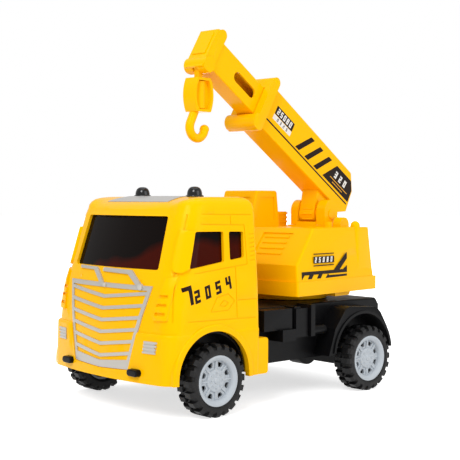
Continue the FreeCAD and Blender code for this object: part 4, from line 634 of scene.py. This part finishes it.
def boom_trim():
    """Stickers on the left wall of the boom: a line, three slanted bars, a number plate and an
    end panel."""
    wall = 9.0
    on_film = wall + FILM_PROUD
    bars = [[(38.8 - step, 38.3), (34.3 - step, 38.3), (45.8 - step, 22.8), (50.6 - step, 22.8)]
            for step in (0.0, 11.9, 23.9)]
    line = [(88.0, 20.5), (88.0, 21.6), (-20.6, 21.6), (-20.6, 20.5)]
    panel = [(3.1, 38.4), (14.5, 23.2), (-21.2, 23.2), (-21.2, 32.8), (-17.0, 38.4)]
    plate = [(80.2, 35.1), (80.2, 28.9), (58.9, 28.9), (58.9, 35.1)]
    strip = [(80.4, 28.6), (80.4, 24.9), (59.2, 24.9), (59.2, 28.6)]
    panel_lines = [[(6.2, 27.8), (6.4, 27.2), (-17.2, 27.2), (-17.2, 27.8)],
                   [(2.2, 25.7), (2.4, 25.1), (-11.6, 25.1), (-11.6, 25.7)]]
    plate_number = number_strokes("25080", (78.6, 29.9), height=4.3, stroke=0.9, pitch=0.86)
    strip_number = number_strokes("0325", (76.0, 25.6), height=2.3, stroke=0.35, pitch=1.6)
    panel_number = number_strokes("320", (2.6, 29.4), height=5.2, stroke=1.15, pitch=1.16)
    for name, outlines, distance, finish_name, radius in (
            ("boom_stripes", bars + [line, panel], wall, "decal_black", 0.25),
            ("boom_plate", [plate], wall, "decal_black", 0.1),
            ("boom_strip", [strip], wall, "decal_white", 0.1),
            ("boom_number", plate_number, on_film, "decal_white", 0.05),
            ("boom_small_number", strip_number, on_film, "decal_black", 0.02),
            ("panel_number", panel_number, on_film, "decal_white", 0.1),
            ("panel_lines", panel_lines, on_film, "decal_gold", 0.05)):
        film(name, outlines, boom_axes, distance, finish_name, "boom", radius)


def crane_trim():
    """Stickers on the left wall of the turning housing: a number plate between lines and a
    slanted band."""
    wall = 43.0
    band = [[(38.8, 78.2), (38.7, 76.1), (-10.2, 76.1), (-10.2, 78.2)],
            [(38.7, 76.1), (38.6, 73.2), (35.8, 76.1)],
            [(30.6, 76.1), (32.5, 73.4), (28.3, 73.4), (26.3, 76.1)],
            [(20.8, 76.1), (22.8, 73.4), (18.7, 73.4), (16.8, 76.1)],
            [(10.8, 76.1), (13.6, 73.3), (-10.2, 73.7), (-10.2, 75.0), (9.8, 75.0)],
            [(4.6, 78.2), (-9.8, 89.5), (-10.1, 85.3), (-2.0, 78.2)],
            [(-5.8, 78.2), (-10.2, 80.6), (-10.2, 78.2)]]
    plate = [[(26.5, 89.5), (26.5, 88.9), (4.5, 88.9), (4.5, 89.5)],
             [(26.3, 82.0), (26.3, 81.4), (4.5, 81.4), (4.5, 82.0)],
             [(26.5, 87.5), (26.5, 83.2), (4.3, 83.2), (4.3, 87.5)]]
    number = number_strokes("25080", (25.4, 83.7), height=3.4, stroke=0.75, pitch=1.24)
    for name, outlines, distance, finish_name, radius in (
            ("housing_band", band, wall, "decal_black", 0.02),
            ("housing_plate", plate, wall, "decal_black", 0.05),
            ("housing_number", number, wall + FILM_PROUD, "decal_white", 0.05)):
        film(name, outlines, crane_axes, distance, finish_name, "crane", radius)


def door_trim():
    """A plain number on the left door; it climbs to the rear and lies on the rounded front
    corner."""
    beside = 75.0
    rise = math.radians(15.5)
    strokes = number_strokes("7", (91.0, 63.7), height=10.8, stroke=2.4, rise=rise)
    strokes += number_strokes("2054", (84.0, 65.1), height=7.4, stroke=1.65, rise=rise, pitch=1.1)
    parts = [wrapped_strip(corners, cab_wall, beside, -FILM_SUNK, FILM_PROUD)
             for corners in strokes]
    built_piece("door_number", parts, "decal_black", "truck")


boom_trim()
crane_trim()
door_trim()


# ------------------------------------------------------------------ floor, light and camera
def stage_material(name, colour):
    """Plain pale stage that takes a soft shadow and shows white to the camera and to reflections:
    its glow grows with the distance from the middle."""
    reach_gain, reach_least = 1.4, 0.12
    glow_gain, glow_least = 0.45, 0.56
    material = bpy.data.materials.new(name)
    material.use_nodes = True
    tree = material.node_tree
    shader = tree.nodes["Principled BSDF"]
    shader.inputs["Base Color"].default_value = (*colour, 1.0)
    shader.inputs["Roughness"].default_value = 0.9
    shader.inputs["Specular IOR Level"].default_value = 0.0
    shader.inputs["Emission Color"].default_value = (1.0, 1.0, 1.0, 1.0)
    path = tree.nodes.new("ShaderNodeLightPath")
    seen = math_node(tree, "MAXIMUM", path.outputs["Is Camera Ray"], path.outputs["Is Glossy Ray"])
    seen = math_node(tree, "MAXIMUM", seen, path.outputs["Is Transmission Ray"])
    where = tree.nodes.new("ShaderNodeTexCoord")
    reach = tree.nodes.new("ShaderNodeVectorMath")
    reach.operation = "LENGTH"
    feed(tree, reach.inputs[0], where.outputs["Object"])
    far = math_node(tree, "MULTIPLY_ADD", reach.outputs["Value"], reach_gain, reach_least,
                    clamp=True)
    glow = math_node(tree, "MULTIPLY_ADD", far, glow_gain, glow_least)
    feed(tree, shader.inputs["Emission Strength"], math_node(tree, "MULTIPLY", seen, glow))
    return material


def make_floor():
    """A flat square floor, large enough to fill the view."""
    half = 6.0
    corners = [(-half, -half, 0), (half, -half, 0), (half, half, 0), (-half, half, 0)]
    mesh = bpy.data.meshes.new("floor")
    mesh.from_pydata(corners, [], [(0, 1, 2, 3)])
    mesh.materials.append(stage_material("pale floor", (0.86, 0.86, 0.86)))
    floor = bpy.data.objects.new("floor", mesh)
    bpy.context.scene.collection.objects.link(floor)


def make_world():
    """Even white surroundings, dimmer as a light than as the background that is seen."""
    light_strength, seen_more = 0.65, 0.35
    world = bpy.data.worlds.new("studio")
    bpy.context.scene.world = world
    world.use_nodes = True
    tree = world.node_tree
    background = tree.nodes["Background"]
    background.inputs["Color"].default_value = (1.0, 1.0, 1.0, 1.0)
    path = tree.nodes.new("ShaderNodeLightPath")
    seen = math_node(tree, "MAXIMUM", path.outputs["Is Camera Ray"],
                     path.outputs["Is Transmission Ray"])
    feed(tree, background.inputs["Strength"],
         math_node(tree, "MULTIPLY_ADD", seen, seen_more, light_strength))


def soft_light(name, place, target, size, power):
    """A square soft box aimed at a point; size in metres, power in watts."""
    lamp = bpy.data.lights.new(name, "AREA")
    lamp.shape, lamp.size, lamp.energy = "SQUARE", size, power
    light = bpy.data.objects.new(name, lamp)
    light.location = place
    light.rotation_euler = (Vector(target) - Vector(place)).to_track_quat("-Z", "Y").to_euler()
    bpy.context.scene.collection.objects.link(light)


def make_camera():
    """A long lens at the height of the cab roof, in front and to the left, nearly level."""
    place = Vector((0.45658, 0.50321, 0.12396))
    yaw, pitch, roll = math.radians(48.17), math.radians(1.677), math.radians(0.151)
    camera = bpy.data.cameras.new("camera")
    camera.lens, camera.sensor_width = 81.13, 36.0
    camera.clip_end = 30.0
    eye = bpy.data.objects.new("camera", camera)
    looking = Vector((-math.cos(yaw) * math.cos(pitch), -math.sin(yaw) * math.cos(pitch),
                      -math.sin(pitch)))
    level = looking.cross(Vector((0, 0, 1))).normalized()
    above = level.cross(looking)
    right = math.cos(roll) * level + math.sin(roll) * above
    up = math.cos(roll) * above - math.sin(roll) * level
    turn = Matrix((right, up, -looking)).transposed()
    eye.matrix_world = Matrix.Translation(place) @ turn.to_4x4()
    bpy.context.scene.collection.objects.link(eye)
    bpy.context.scene.camera = eye


make_floor()
make_world()
MIDDLE = (0.0, 0.0, 0.10)
soft_light("key", (0.9, 0.5, 0.9), MIDDLE, size=0.5, power=7.0)
soft_light("side", (-0.3, 1.2, 0.5), MIDDLE, size=0.9, power=4.2)
soft_light("top", (0.0, 0.0, 1.3), MIDDLE, size=1.2, power=3.6)
make_camera()
bpy.context.scene.view_settings.view_transform = "Standard"
